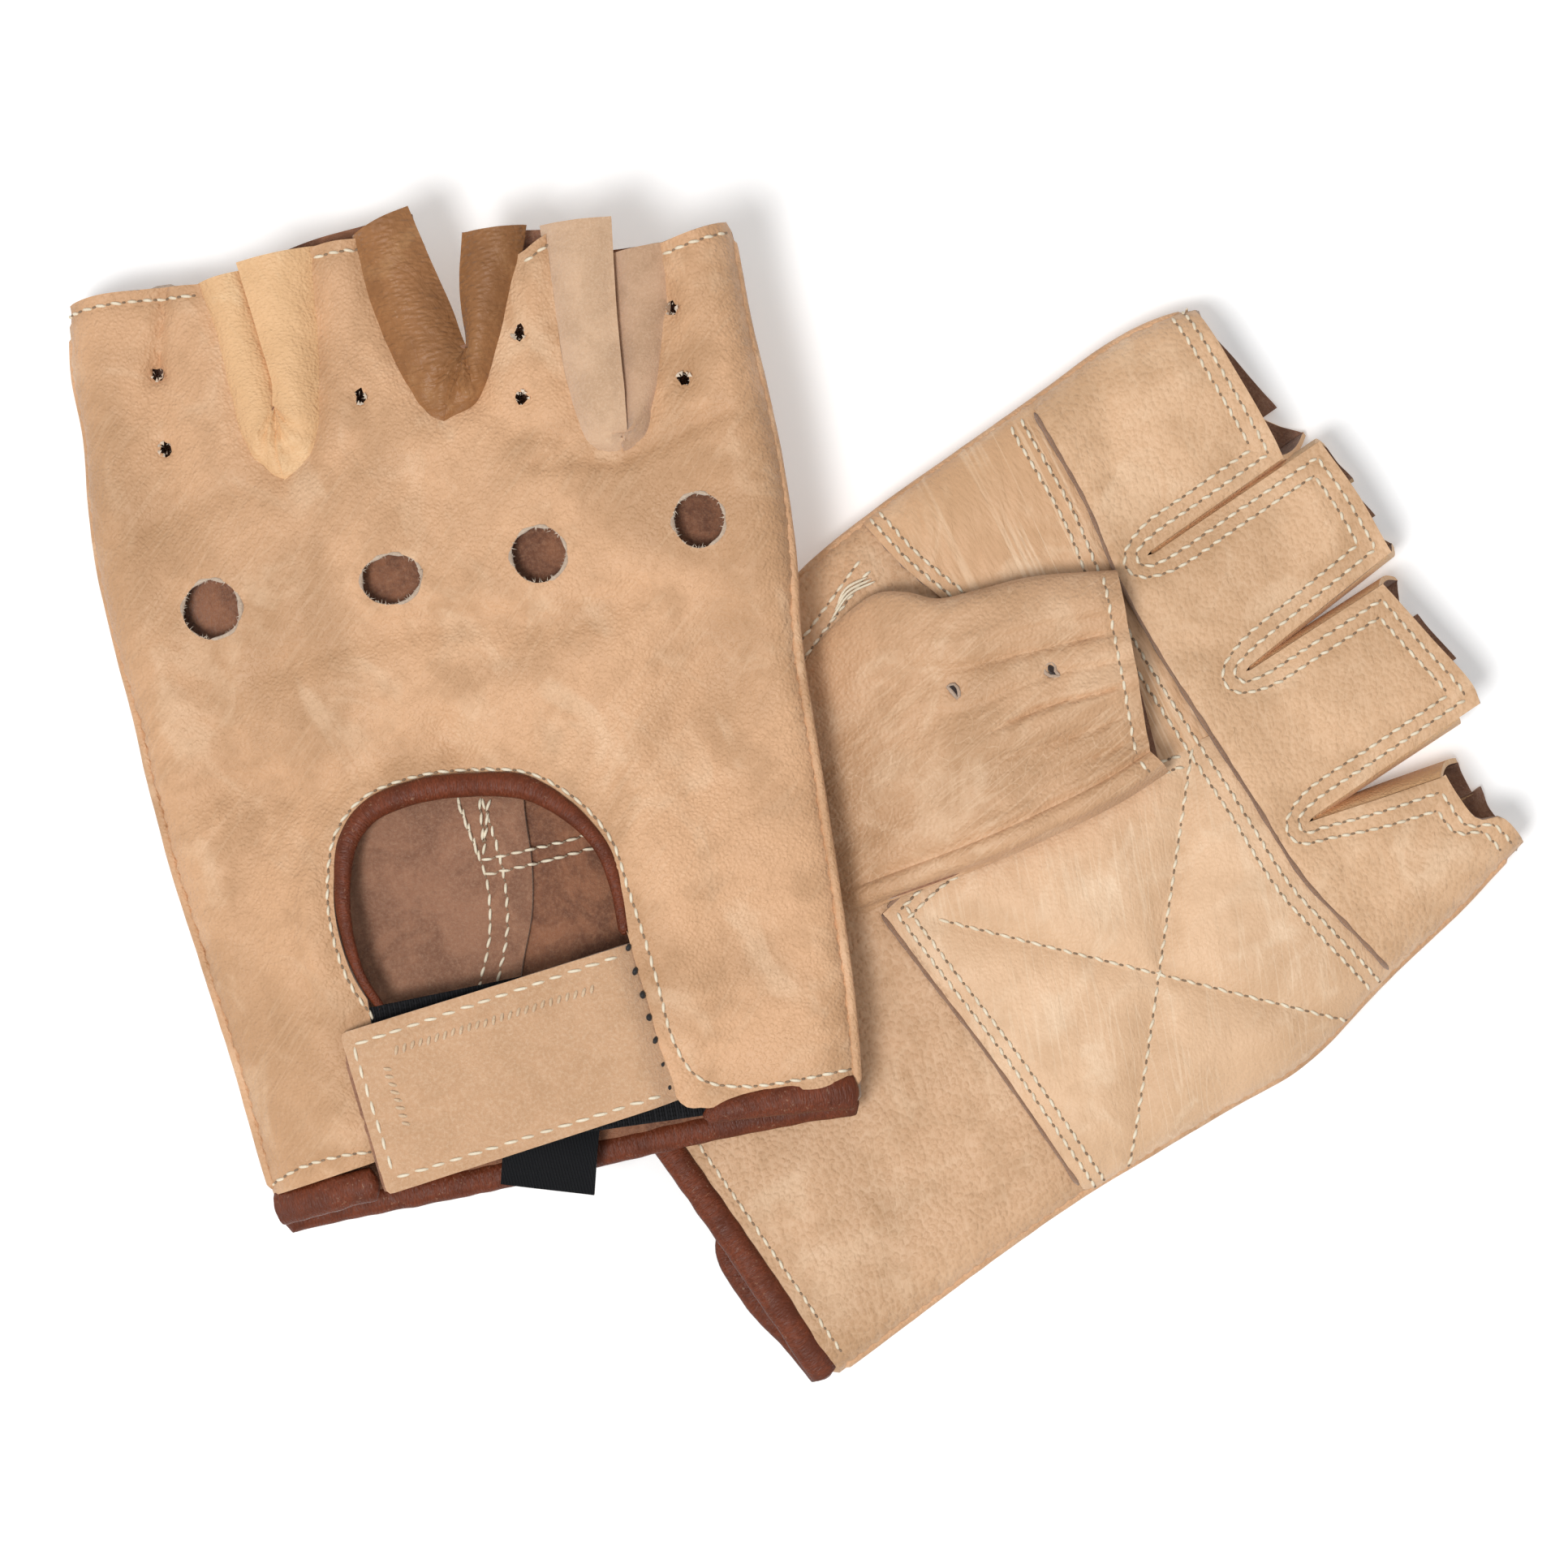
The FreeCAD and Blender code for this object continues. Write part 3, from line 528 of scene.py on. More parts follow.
def sheet(name, g, loops, surface, thickness, outward, materials, seams=(), spacing=GRID, seam_at=None):
    """A sheet of leather: its outer face follows surface(u, v), its inner face lies one thickness behind."""
    extra = seam_points(seams)
    uv, tris = flat_mesh([np.asarray(loop, float) for loop in loops], spacing, extra)
    u, v = uv[:, 0], uv[:, 1]
    w = surface(u, v)
    e = 0.15
    slope_u = (surface(u + e, v) - surface(u - e, v)) / (2 * e)
    slope_v = (surface(u, v + e) - surface(u, v - e)) / (2 * e)
    steep = np.clip(1 / np.maximum(np.hypot(slope_u, slope_v), 1e-6) * 2.2, 0, 1)
    normal = np.stack([-slope_u * steep, -slope_v * steep, np.ones_like(u)], axis=1)
    normal /= np.linalg.norm(normal, axis=1)[:, None]
    outer = np.stack([u, v, w], axis=1)
    inner = outer - normal * thickness * outward
    rim = boundary_edges(tris)
    n = len(uv)
    edge_ids = sorted({i for pair in rim for i in pair})
    outer[edge_ids] -= normal[edge_ids] * 0.18 * outward
    faces = [tuple(t) for t in tris] + [tuple(t[::-1] + n) for t in tris]
    faces += [(b, a, a + n, b + n) for a, b in rim]
    slots = [0] * len(tris) + [1] * len(tris) + [2 if len(materials) > 2 else 0] * len(rim)
    if len(materials) == 1:
        slots = [0] * len(slots)
    # The seam attribute: how near each point lies to a stitched line. The grain leather darkens there with
    # dirt and painted shade.
    seam = np.zeros(n)
    for line in (seams if seam_at is None else seam_at):
        seam = np.maximum(seam, bump(distance_to(u, v, evenly(line, 3.0)), 2.4))
    local = np.vstack([outer, inner])
    return make_object(g, name, local, faces, materials, slots, local, seam=np.tile(seam, 2))


def loft(name, g, rows, materials, thickness=0.0, local_shift=0.0, closed=False, sharp=50, outward=1,
         local=None):
    """A grid of (u, v, w) rows made into a surface. With a thickness it becomes a solid sheet, and the given
    rows are its outer face, which mostly looks outward along w."""
    grid = np.asarray(rows, float)
    m, n = grid.shape[:2]
    points = grid.reshape(-1, 3)
    faces = []
    cols = n if closed else n - 1
    for i in range(m - 1):
        for j in range(cols):
            k = (j + 1) % n
            faces.append((i * n + j, i * n + k, (i + 1) * n + k, (i + 1) * n + j))
    if local is None:
        local = points + np.array([local_shift, local_shift * 0.7, 0])
    if closed:
        faces.append(tuple(range(n))[::-1])
        faces.append(tuple((m - 1) * n + j for j in range(n)))
        return make_object(g, name, points, faces, materials, None, local, sharp=sharp)
    if thickness:
        du, dv = np.gradient(grid, axis=0), np.gradient(grid, axis=1)
        normal = np.cross(du, dv).reshape(-1, 3)
        normal *= np.sign(normal[:, 2].sum()) * outward
        normal /= np.linalg.norm(normal, axis=1)[:, None] + 1e-12
        back = points - normal * thickness
        total = m * n
        rim = [(j, j + 1) for j in range(n - 1)]
        rim += [(i * n + n - 1, (i + 1) * n + n - 1) for i in range(m - 1)]
        rim += [((m - 1) * n + j + 1, (m - 1) * n + j) for j in range(n - 1)]
        rim += [((i + 1) * n, i * n) for i in range(m - 1)]
        slots = [0] * len(faces) + [min(1, len(materials) - 1)] * len(faces)
        faces += [tuple(f[::-1]) for f in (np.array(faces) + total)]
        faces += [(b, a, a + total, b + total) for a, b in rim]
        slots += [min(2, len(materials) - 1)] * len(rim)
        points = np.vstack([points, back])
        local = np.vstack([local, local])
        return make_object(g, name, points, faces, materials, slots, local, sharp=sharp)
    return make_object(g, name, points, faces, materials, None, local, sharp=sharp)


def sweep(name, g, path, width, thick, materials, wobble=0.0, taper=True, sides=14, seed=0.0, swells=EVEN):
    """A rolled edge binding: an oval section carried along rows of (u, v, w). swells gives its relative size
    at shares of its length."""
    path = evenly(path, 0.8)
    along = np.gradient(path, axis=0)
    along /= np.linalg.norm(along, axis=1)[:, None]
    across = np.stack([along[:, 1], -along[:, 0], 0 * along[:, 0]], axis=1)
    across /= np.linalg.norm(across, axis=1)[:, None]
    up = np.cross(across, along)
    run = np.arange(len(path)) * 0.8
    wander = np.array([noise.noise((r / 2.4, seed, 0.3)) for r in run])
    swell = np.interp(run / run[-1], *swells) * (1 + wobble * wander)
    if taper:
        from_end = np.minimum(run, run[-1] - run)
        swell = swell * (0.35 + 0.65 * crown(from_end, 1.1))
    rows = []
    for p, a, b, s in zip(path, across, up, swell):
        angle = np.linspace(0, 2 * math.pi, sides, endpoint=False)
        x = np.sign(np.cos(angle)) * np.abs(np.cos(angle)) ** 0.8 * width / 2 * s
        z = np.sin(angle) * thick / 2 * s
        rows.append(p + x[:, None] * a + z[:, None] * b)
    around = np.linspace(0, math.pi * (width + thick) / 2, sides)
    local = np.stack(np.broadcast_arrays(run[:, None], around[None, :] + seed * 9, seed * 5.0), axis=2)
    return loft(name, g, rows, materials, closed=True, sharp=70, local=local.reshape(-1, 3))


def on(path, surface, lift):
    """A flat line laid on a surface, raised by lift."""
    path = np.asarray(path, float)
    return np.column_stack([path, surface(path[:, 0], path[:, 1]) + lift])


# ---- Sewing thread -----------------------------------------------------------------------------------------
def stitch_mesh(name, g, lines, material, pitch=2.4, length=1.75, radius=0.26, seed=3, outward=1, holes=True):
    """Machine stitches along rows of (u, v, w), half sunk in the leather. Between each two, a bit of thread
    dips into its needle hole, coloured darker as painted shade."""
    draw = np.random.default_rng(seed)
    verts, faces, slots = [], [], []
    rings, sides = 5, 6

    def capsule(centre, across, up, thick, sink, slot):
        base = len(verts)
        for c, s, d in zip(centre, (0.45, 0.93, 1.0, 0.93, 0.45), sink):
            for j in range(sides):
                a = 2 * math.pi * j / sides
                side_step = across * math.cos(a) * thick * s
                rise = up * (math.sin(a) * thick * s * 0.85)
                verts.append(c + side_step + rise + np.array([0, 0, d * outward]))
        for i in range(rings - 1):
            for j in range(sides):
                k2 = (j + 1) % sides
                a, b = base + i * sides, base + (i + 1) * sides
                faces.append((a + j, a + k2, b + k2, b + j))
        faces.append(tuple(base + j for j in range(sides))[::-1])
        faces.append(tuple(base + (rings - 1) * sides + j for j in range(sides)))
        slots.extend([slot] * ((rings - 1) * sides + 2))

    for line in lines:
        path = evenly(line, 0.25)
        run = np.concatenate([[0], np.cumsum(np.linalg.norm(np.diff(path, axis=0), axis=1))])
        count = int((run[-1] - length) / pitch) + 1
        for k in range(count):
            start = 0.25 + k * pitch + draw.uniform(-0.12, 0.12)
            span = length * draw.uniform(0.9, 1.08)
            at = np.linspace(start, min(start + span, run[-1]), rings)
            centre = np.stack([np.interp(at, run, path[:, i]) for i in range(3)], axis=1)
            along = centre[-1] - centre[0]
            if np.linalg.norm(along) < 0.4:
                continue
            along /= np.linalg.norm(along)
            turn = 0.13 + draw.uniform(-0.09, 0.09)
            across = np.array([along[1], -along[0], 0])
            across /= np.linalg.norm(across)
            centre += np.outer(np.linspace(-1, 1, rings) * turn, across)
            up = np.cross(across, along)
            capsule(centre, across, up, radius, (-0.26, 0.0, 0.07, 0.0, -0.26), 0)
            if holes and start + span + 0.2 < run[-1]:
                gap = max(pitch - span, 0.3)
                at = np.linspace(start + span, start + span + gap, rings)
                centre = np.stack([np.interp(at, run, path[:, i]) for i in range(3)], axis=1)
                # The thread in its needle hole, coloured dark as painted shade.
                capsule(centre, across, up, radius * 0.8, (-0.12, -0.13, -0.15, -0.13, -0.12), 1)
    points = np.array(verts)
    return make_object(g, name, points, faces, [material, "painted_hole_shade"], slots, points, sharp=80)


# ---- Materials ---------------------------------------------------------------------------------------------
class Nodes:
    """Short-hand for building a material's node tree."""

    def __init__(self, name):
        self.material = bpy.data.materials.new(name)
        self.material.use_nodes = True
        self.tree = self.material.node_tree
        self.tree.nodes.clear()
        self.shader = self.add("ShaderNodeBsdfPrincipled")
        output = self.add("ShaderNodeOutputMaterial")
        self.link(self.shader.outputs["BSDF"], output.inputs["Surface"])

    def add(self, kind, **values):
        node = self.tree.nodes.new(kind)
        for key, value in values.items():
            setattr(node, key, value)
        return node

    def link(self, a, b):
        self.tree.links.new(a, b)

    def local(self, scale=(1, 1, 1), turn=0.0, shift=(0, 0, 0)):
        """The piece's own flat coordinates, in millimetres, turned and then scaled."""
        attribute = self.add("ShaderNodeAttribute", attribute_name="local")
        mapping = self.add("ShaderNodeMapping", vector_type="TEXTURE")
        mapping.inputs["Scale"].default_value = [1 / k for k in scale]
        mapping.inputs["Rotation"].default_value = (0, 0, turn)
        mapping.inputs["Location"].default_value = shift
        self.link(attribute.outputs["Vector"], mapping.inputs["Vector"])
        return mapping.outputs["Vector"]

    def noise(self, vector, scale, detail=3.0, rough=0.55, distortion=0.0):
        node = self.add("ShaderNodeTexNoise")
        node.inputs["Scale"].default_value = scale
        node.inputs["Detail"].default_value = detail
        node.inputs["Roughness"].default_value = rough
        node.inputs["Distortion"].default_value = distortion
        self.link(vector, node.inputs["Vector"])
        return node.outputs["Fac"]

    def cells(self, vector, scale, feature="DISTANCE_TO_EDGE", randomness=1.0):
        node = self.add("ShaderNodeTexVoronoi", feature=feature)
        node.inputs["Scale"].default_value = scale
        node.inputs["Randomness"].default_value = randomness
        self.link(vector, node.inputs["Vector"])
        return node.outputs["Distance"]

    def ramp(self, value, low, high, to_low=0.0, to_high=1.0):
        node = self.add("ShaderNodeMapRange", interpolation_type="SMOOTHSTEP")
        for key, number in (("From Min", low), ("From Max", high), ("To Min", to_low), ("To Max", to_high)):
            node.inputs[key].default_value = number
        self.link(value, node.inputs["Value"])
        return node.outputs["Result"]

    def math(self, operation, a, b=None):
        node = self.add("ShaderNodeMath", operation=operation)
        for socket, value in zip(node.inputs, (a, b)):
            if value is None:
                continue
            if isinstance(value, (int, float)):
                socket.default_value = value
            else:
                self.link(value, socket)
        return node.outputs["Value"]

    def mix(self, factor, a, b, blend="MIX"):
        node = self.add("ShaderNodeMix", data_type="RGBA", blend_type=blend)
        for socket, value in ((node.inputs[0], factor), (node.inputs[6], a), (node.inputs[7], b)):
            if isinstance(value, (int, float)):
                socket.default_value = value
            elif isinstance(value, tuple):
                socket.default_value = (*value, 1.0)
            else:
                self.link(value, socket)
        return node.outputs[2]

    def attribute(self, name):
        return self.add("ShaderNodeAttribute", attribute_name=name).outputs["Fac"]

    def warp(self, vector, scale, amount):
        """The coordinates pushed about by noise."""
        node = self.add("ShaderNodeTexNoise")
        node.inputs["Scale"].default_value = scale
        node.inputs["Detail"].default_value = 2.0
        self.link(vector, node.inputs["Vector"])
        push = self.add("ShaderNodeVectorMath", operation="MULTIPLY_ADD")
        push.inputs[1].default_value = (amount, amount, amount)
        self.link(node.outputs["Color"], push.inputs[0])
        self.link(vector, push.inputs[2])
        return push.outputs["Vector"]

    def finish(self, colour, rough, height=None, depth=0.0002, sheen=0.0, specular=0.5):
        if isinstance(colour, tuple):
            self.shader.inputs["Base Color"].default_value = (*colour, 1.0)
        else:
            self.link(colour, self.shader.inputs["Base Color"])
        if isinstance(rough, (int, float)):
            self.shader.inputs["Roughness"].default_value = rough
        else:
            self.link(rough, self.shader.inputs["Roughness"])
        self.shader.inputs["Specular IOR Level"].default_value = specular
        if sheen:
            self.shader.inputs["Sheen Weight"].default_value = sheen
            self.shader.inputs["Sheen Roughness"].default_value = 0.5
        if height is not None:
            bump_node = self.add("ShaderNodeBump")
            bump_node.inputs["Distance"].default_value = depth
            bump_node.inputs["Strength"].default_value = 1.0
            self.link(height, bump_node.inputs["Height"])
            self.link(bump_node.outputs["Normal"], self.shader.inputs["Normal"])
        return self.material


def grain_leather(name, base, dark, pale, grain=1.1, grain_depth=0.5, creases=0.6, crease_turn=0.5,
                  mottle=0.6, rough=0.56, long_way=(1.0, 0.05, 0.2), stretch=(1, 1, 0.6), tone_and_side_shade=0.0,
                  pale_grain=False, wander=0.7, web_strength=0.6):
    """Full-grain leather: mottled colour, pale hairline creases, a fine cell grain and pores. It can be
    painted darker towards low local x, the index side on the back leather, as shade; near seams it darkens
    with dirt and painted shade.
    """
    n = Nodes(name)
    flat = n.local(scale=(1, 1, 0.6))
    patches = n.noise(flat, 0.035, 4, 0.6, 0.6)
    blots = n.noise(flat, 0.14, 4, 0.62)
    colour = n.mix(n.ramp(patches, 0.38, 0.68, 0, mottle), base, dark)
    colour = n.mix(n.ramp(blots, 0.46, 0.7, 0, 0.45 * mottle + 0.15), colour, dark)
    clouds = n.noise(n.local(scale=(1, 0.7, 1), turn=0.4, shift=(7, 3, 0)), 0.1, 4, 0.6, 0.8)
    colour = n.mix(n.ramp(clouds, 0.5, 0.7, 0, 0.34), colour, pale)
    fine = n.noise(flat, 2.2, 3, 0.6)
    colour = n.mix(n.ramp(fine, 0.35, 0.7, 0.16, 0), colour, dark)
    # Painted shade: the colour darkens towards low local x, the index side on the back leather.
    if tone_and_side_shade:
        across = n.add("ShaderNodeSeparateXYZ")
        n.link(n.warp(n.local(), 0.03, 30.0), across.inputs["Vector"])
        colour = n.mix(n.ramp(across.outputs["X"], -30, 40, tone_and_side_shade, 0), colour, dark)
    where = n.ramp(n.noise(flat, 0.07, 2, 0.5), 0.36, 0.6)
    streaks = n.noise(n.warp(n.local(scale=long_way, turn=crease_turn), 0.25, wander), 0.75, 1, 0.4)
    middle = n.math("ABSOLUTE", n.math("SUBTRACT", streaks, 0.5))
    hairs = n.math("MULTIPLY", n.ramp(middle, 0.0, 0.045, 0.6, 0), where)
    web = n.cells(n.warp(n.local(scale=(1.0, 0.3, 1), turn=crease_turn + 0.5), 0.16, 3.0), 0.5)
    lines = n.math("MULTIPLY", n.ramp(web, 0.0, 0.03, web_strength, 0), n.ramp(patches, 0.42, 0.58))
    lines = n.math("MAXIMUM", lines, hairs)
    colour = n.mix(n.math("MULTIPLY", lines, creases * 0.55), colour, pale)
    pebbles = n.add("ShaderNodeTexVoronoi", feature="SMOOTH_F1")
    pebbles.inputs["Scale"].default_value = grain
    pebbles.inputs["Smoothness"].default_value = 0.45
    n.link(n.warp(n.local(scale=stretch), 0.9, 0.5), pebbles.inputs["Vector"])
    round_grain = n.ramp(pebbles.outputs["Distance"], 0.1, 0.75, 1, 0)
    valley = n.ramp(pebbles.outputs["Distance"], 0.35, 0.8, 0, 1)
    colour = n.mix(n.math("MULTIPLY", valley, 0.13 * grain_depth), colour, pale if pale_grain else dark)
    # Near seams the colour darkens: part dirt, part painted shade in the seam grooves.
    seam = n.attribute("seam")
    seam_dirt_and_shade = n.math("MULTIPLY", seam, n.ramp(blots, 0.3, 0.7, 0.1, 0.42))
    colour = n.mix(seam_dirt_and_shade, colour, dark)
    height = n.math("MULTIPLY", round_grain, grain_depth * 1.3)
    height = n.math("ADD", height, n.math("MULTIPLY", fine, 0.5))
    height = n.math("SUBTRACT", height, n.math("MULTIPLY", lines, 0.35 * creases))
    wrinkles = n.noise(n.local(scale=(1, 0.35, 1), turn=crease_turn), 0.45, 4, 0.65, 0.8)
    height = n.math("ADD", height, n.math("MULTIPLY", wrinkles, 3.2))
    roughness = n.ramp(blots, 0.3, 0.7, rough - 0.07, rough + 0.08)
    return n.finish(colour, roughness, height, 0.00009, sheen=0.08, specular=0.36)


def napped_leather(name, base, dark, pale, nap=3.0, depth=0.0003, mottle=0.7):
    """Suede or nubuck: a short soft nap with brushed patches."""
    n = Nodes(name)
    flat = n.local()
    brushed = n.noise(flat, 0.12, 4, 0.65, 0.8)
    fluff = n.noise(flat, nap, 5, 0.75)
    specks = n.noise(flat, nap * 0.35, 3, 0.6)
    colour = n.mix(n.ramp(brushed, 0.36, 0.66, 0, mottle), base, dark)
    colour = n.mix(n.ramp(fluff, 0.4, 0.72, 0, 0.5), colour, pale)
    colour = n.mix(n.ramp(specks, 0.56, 0.75, 0, 0.35), colour, dark)
    height = n.math("ADD", n.math("MULTIPLY", fluff, 1.0), n.math("MULTIPLY", specks, 0.8))
    return n.finish(colour, 0.88, height, depth, sheen=0.35, specular=0.2)


def binding_leather(name, base, dark, scuff):
    """Dark rolled binding: fine wrinkles across it, glossy crowns and pale scuffs."""
    n = Nodes(name)
    flat = n.local()
    wrinkle = n.noise(n.warp(n.local(scale=(1, 0.3, 1)), 0.5, 0.5), 3.6, 2, 0.5)
    tone_and_side_shade = n.noise(flat, 0.25, 3, 0.6)
    colour = n.mix(n.ramp(tone_and_side_shade, 0.4, 0.65, 0, 0.8), base, dark)
    # The wrinkles' hollows are painted darker, as shade.
    colour = n.mix(n.ramp(wrinkle, 0.42, 0.6, 0.5, 0), colour, dark)
    scuffs = n.ramp(n.noise(flat, 1.6, 5, 0.7), 0.57, 0.68)
    worn = n.math("MULTIPLY", scuffs, n.ramp(n.noise(flat, 0.12, 2), 0.46, 0.6))
    colour = n.mix(n.math("MULTIPLY", worn, 0.6), colour, scuff)
    return n.finish(colour, n.ramp(wrinkle, 0.35, 0.65, 0.42, 0.6), wrinkle, 0.0003, specular=0.32)


def thread_material(name, base, dark):
    """Twisted waxed thread."""
    n = Nodes(name)
    flat = n.local()
    twist = n.noise(n.local(scale=(1, 1, 1), turn=0.7), 5.0, 2, 0.5)
    colour = n.mix(n.ramp(n.noise(flat, 0.3, 2), 0.35, 0.65, 0, 0.45), base, dark)
    colour = n.mix(n.ramp(twist, 0.45, 0.65, 0.25, 0), colour, dark)
    return n.finish(colour, 0.6, twist, 0.0001, sheen=0.1)


def ribbed_webbing(name, base, pale, pitch, turn=0.0):
    """Woven elastic or tape with ribs across it."""
    n = Nodes(name)
    wave = n.add("ShaderNodeTexWave", wave_type="BANDS", bands_direction="X")
    wave.inputs["Scale"].default_value = 1.0 / pitch * 0.314
    n.link(n.local(turn=turn), wave.inputs["Vector"])
    ribs = wave.outputs["Fac"]
    weave = n.noise(n.local(scale=(1, 3, 1), turn=turn), 3.0, 2)
    colour = n.mix(n.ramp(ribs, 0.4, 0.9, 0, 0.5), base, pale)
    colour = n.mix(n.ramp(weave, 0.5, 0.8, 0, 0.3), colour, pale)
    height = n.math("ADD", ribs, n.math("MULTIPLY", weave, 0.4))
    return n.finish(colour, 0.72, height, 0.0003, specular=0.25)


def floor_material():
    n = Nodes("studio_floor")
    n.shader.inputs["Emission Color"].default_value = (1, 1, 1, 1)
    n.shader.inputs["Emission Strength"].default_value = 0.2
    return n.finish((0.9, 0.9, 0.9), 0.8)


MAT = {}


def make_materials():
    # The back leather's side shade is painted into its colour, darker towards the index side.
    MAT["back"] = grain_leather(
        "tan_leather_back", (0.71, 0.417, 0.233), (0.43, 0.24, 0.12), (0.88, 0.64, 0.43), grain=1.9,
        grain_depth=0.8, creases=0.36, crease_turn=-0.8, tone_and_side_shade=0.16, mottle=0.72, wander=1.1,
        web_strength=0.25)
    MAT["palm"] = grain_leather(
        "tan_leather_palm", (0.72, 0.455, 0.268), (0.50, 0.295, 0.155), (0.90, 0.67, 0.46), grain=1.4,
        grain_depth=0.8, creases=0.35, crease_turn=1.2, mottle=0.7, pale_grain=True)
    MAT["heel"] = grain_leather(
        "tan_leather_heel", (0.63, 0.385, 0.222), (0.44, 0.255, 0.132), (0.84, 0.61, 0.41), grain=1.3,
        grain_depth=1.0, creases=0.45, crease_turn=1.2, mottle=0.75, pale_grain=True)
    MAT["side_panel"] = grain_leather(
        "tan_leather_side_panel", (0.69, 0.42, 0.238), (0.54, 0.32, 0.17), (0.90, 0.68, 0.47), grain=1.8,
        grain_depth=0.5, creases=1.3, crease_turn=1.41, long_way=(0.6, 0.008, 0.02), stretch=(0.3, 1, 1),
        wander=0.1, web_strength=0.0)
    MAT["patch"] = grain_leather(
        "tan_leather_patch", (0.77, 0.51, 0.317), (0.56, 0.35, 0.20), (0.92, 0.73, 0.53), grain=1.8,
        grain_depth=0.4, creases=0.8, crease_turn=1.15, mottle=0.6, web_strength=0.2)
    MAT["thumb"] = grain_leather(
        "tan_leather_thumb", (0.63, 0.38, 0.217), (0.45, 0.26, 0.135), (0.84, 0.61, 0.41), grain=1.7,
        grain_depth=0.7, creases=0.8, crease_turn=0.1, mottle=0.75)
    MAT["light_gusset"] = grain_leather(
        "light_gusset_leather", (0.77, 0.475, 0.25), (0.62, 0.37, 0.18), (0.92, 0.70, 0.44), grain=1.9,
        grain_depth=0.7, creases=0.2, mottle=0.4, stretch=(0.8, 1.3, 1))
    MAT["brown_gusset"] = grain_leather(
        "brown_gusset_leather", (0.35, 0.155, 0.056), (0.19, 0.078, 0.025), (0.55, 0.31, 0.14), grain=1.0,
        grain_depth=1.3, creases=0.1, mottle=0.7, rough=0.5, stretch=(0.6, 1.6, 1))
    napped = {
        "raw_edge": ("raw_leather_edge", (0.56, 0.40, 0.29), (0.40, 0.26, 0.17), (0.76, 0.62, 0.50)),
        "cut_edge": ("brown_cut_edge", (0.36, 0.20, 0.12), (0.22, 0.11, 0.065), (0.50, 0.33, 0.22)),
        "hole_rim": ("punched_hole_rim", (0.66, 0.51, 0.38), (0.42, 0.28, 0.19), (0.82, 0.70, 0.56)),
        "suede": ("suede_inside", (0.36, 0.145, 0.070), (0.17, 0.062, 0.03), (0.50, 0.25, 0.14),
                  1.7, 0.0005, 0.95),
        "suede_light": ("suede_inside_light", (0.39, 0.185, 0.105), (0.23, 0.10, 0.055), (0.52, 0.30, 0.19),
                        2.0, 0.0004, 0.85),
        "strap_pale": ("strap_pressed_nubuck", (0.80, 0.57, 0.36), (0.68, 0.46, 0.27), (0.86, 0.68, 0.48)),
        # near-black painted shadow for the inside of a vent
        "hole_shadow": ("painted_shadow_in_a_punched_hole", (0.03, 0.014, 0.009), (0.012, 0.006, 0.004),
                        (0.06, 0.03, 0.02)),
        "strap": ("strap_nubuck", (0.63, 0.375, 0.215), (0.50, 0.285, 0.15), (0.80, 0.57, 0.38),
                  2.0, 0.00025, 0.5),
        "grey_gusset": ("grey_gusset_suede", (0.69, 0.45, 0.285), (0.52, 0.325, 0.195), (0.80, 0.58, 0.40),
                        2.6, 0.0002),
        "grey_gusset_shade": ("grey_gusset_suede_shaded", (0.60, 0.375, 0.235), (0.44, 0.265, 0.155),
                              (0.72, 0.49, 0.33), 2.6, 0.0002),
    }
    threads = {
        "thread": ("cream_thread", (0.86, 0.77, 0.60), (0.66, 0.54, 0.38)),
        # thread coloured dark as painted shade where it dips into a needle hole
        "painted_hole_shade": ("thread_in_painted_hole_shade", (0.30, 0.20, 0.12), (0.14, 0.085, 0.05)),
        "dark_thread": ("black_thread", (0.012, 0.011, 0.012), (0.004, 0.004, 0.004)),
        "fuzz": ("raw_fibres", (0.82, 0.70, 0.56), (0.62, 0.49, 0.38)),
    }
    MAT.update({key: napped_leather(*values) for key, values in napped.items()})
    MAT.update({key: thread_material(*values) for key, values in threads.items()})
    MAT["binding"] = binding_leather(
        "binding_leather", (0.168, 0.036, 0.011), (0.095, 0.020, 0.006), (0.40, 0.24, 0.15))
    MAT["elastic"] = ribbed_webbing("black_elastic", (0.006, 0.006, 0.007), (0.018, 0.018, 0.021), 0.8)
    MAT["label"] = ribbed_webbing("woven_label", (0.004, 0.0045, 0.006), (0.010, 0.011, 0.014), 0.45)


# ---- Where each piece rides --------------------------------------------------------------------------------
def settle(obj, g, where, material_slot, *nodes):
    """Gives a piece its body where that is glove or stalls, bakes any other piece's transform in, and hides
    the CAD nodes it stands for. material_slot is not used.
    """
    if where == "fold":
        start = g.point(0, g.fold - FOLD_REACH, g.fold_w)
        end = g.point(0, g.fold + FOLD_REACH, g.fold_w)
        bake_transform(obj)
    elif where == "thumb":
        (u0, v0), (u1, v1) = THUMB_BASE
        mid = np.array([(u0 + u1) / 2, (v0 + v1) / 2 - g.thumb_down])
        along = np.array([u1 - u0, v1 - v0])
        away = np.array([-along[1], along[0]]) / np.linalg.norm(along)
        a, b = mid - away * 8, mid + away * 6
        g.point(*a, -THUMB_GAP)
        g.point(*b, -THUMB_GAP)
        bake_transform(obj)
    elif where == "strap":
        g.point(17.5, 16, HEIGHT + 2)
        g.point(12.5, 16.6, HEIGHT + 2)
        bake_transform(obj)
    else:
        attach(obj, g.side + "_" + where)
    if nodes:
        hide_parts(*[f"{g.side}_{n}" for n in nodes])
    return obj


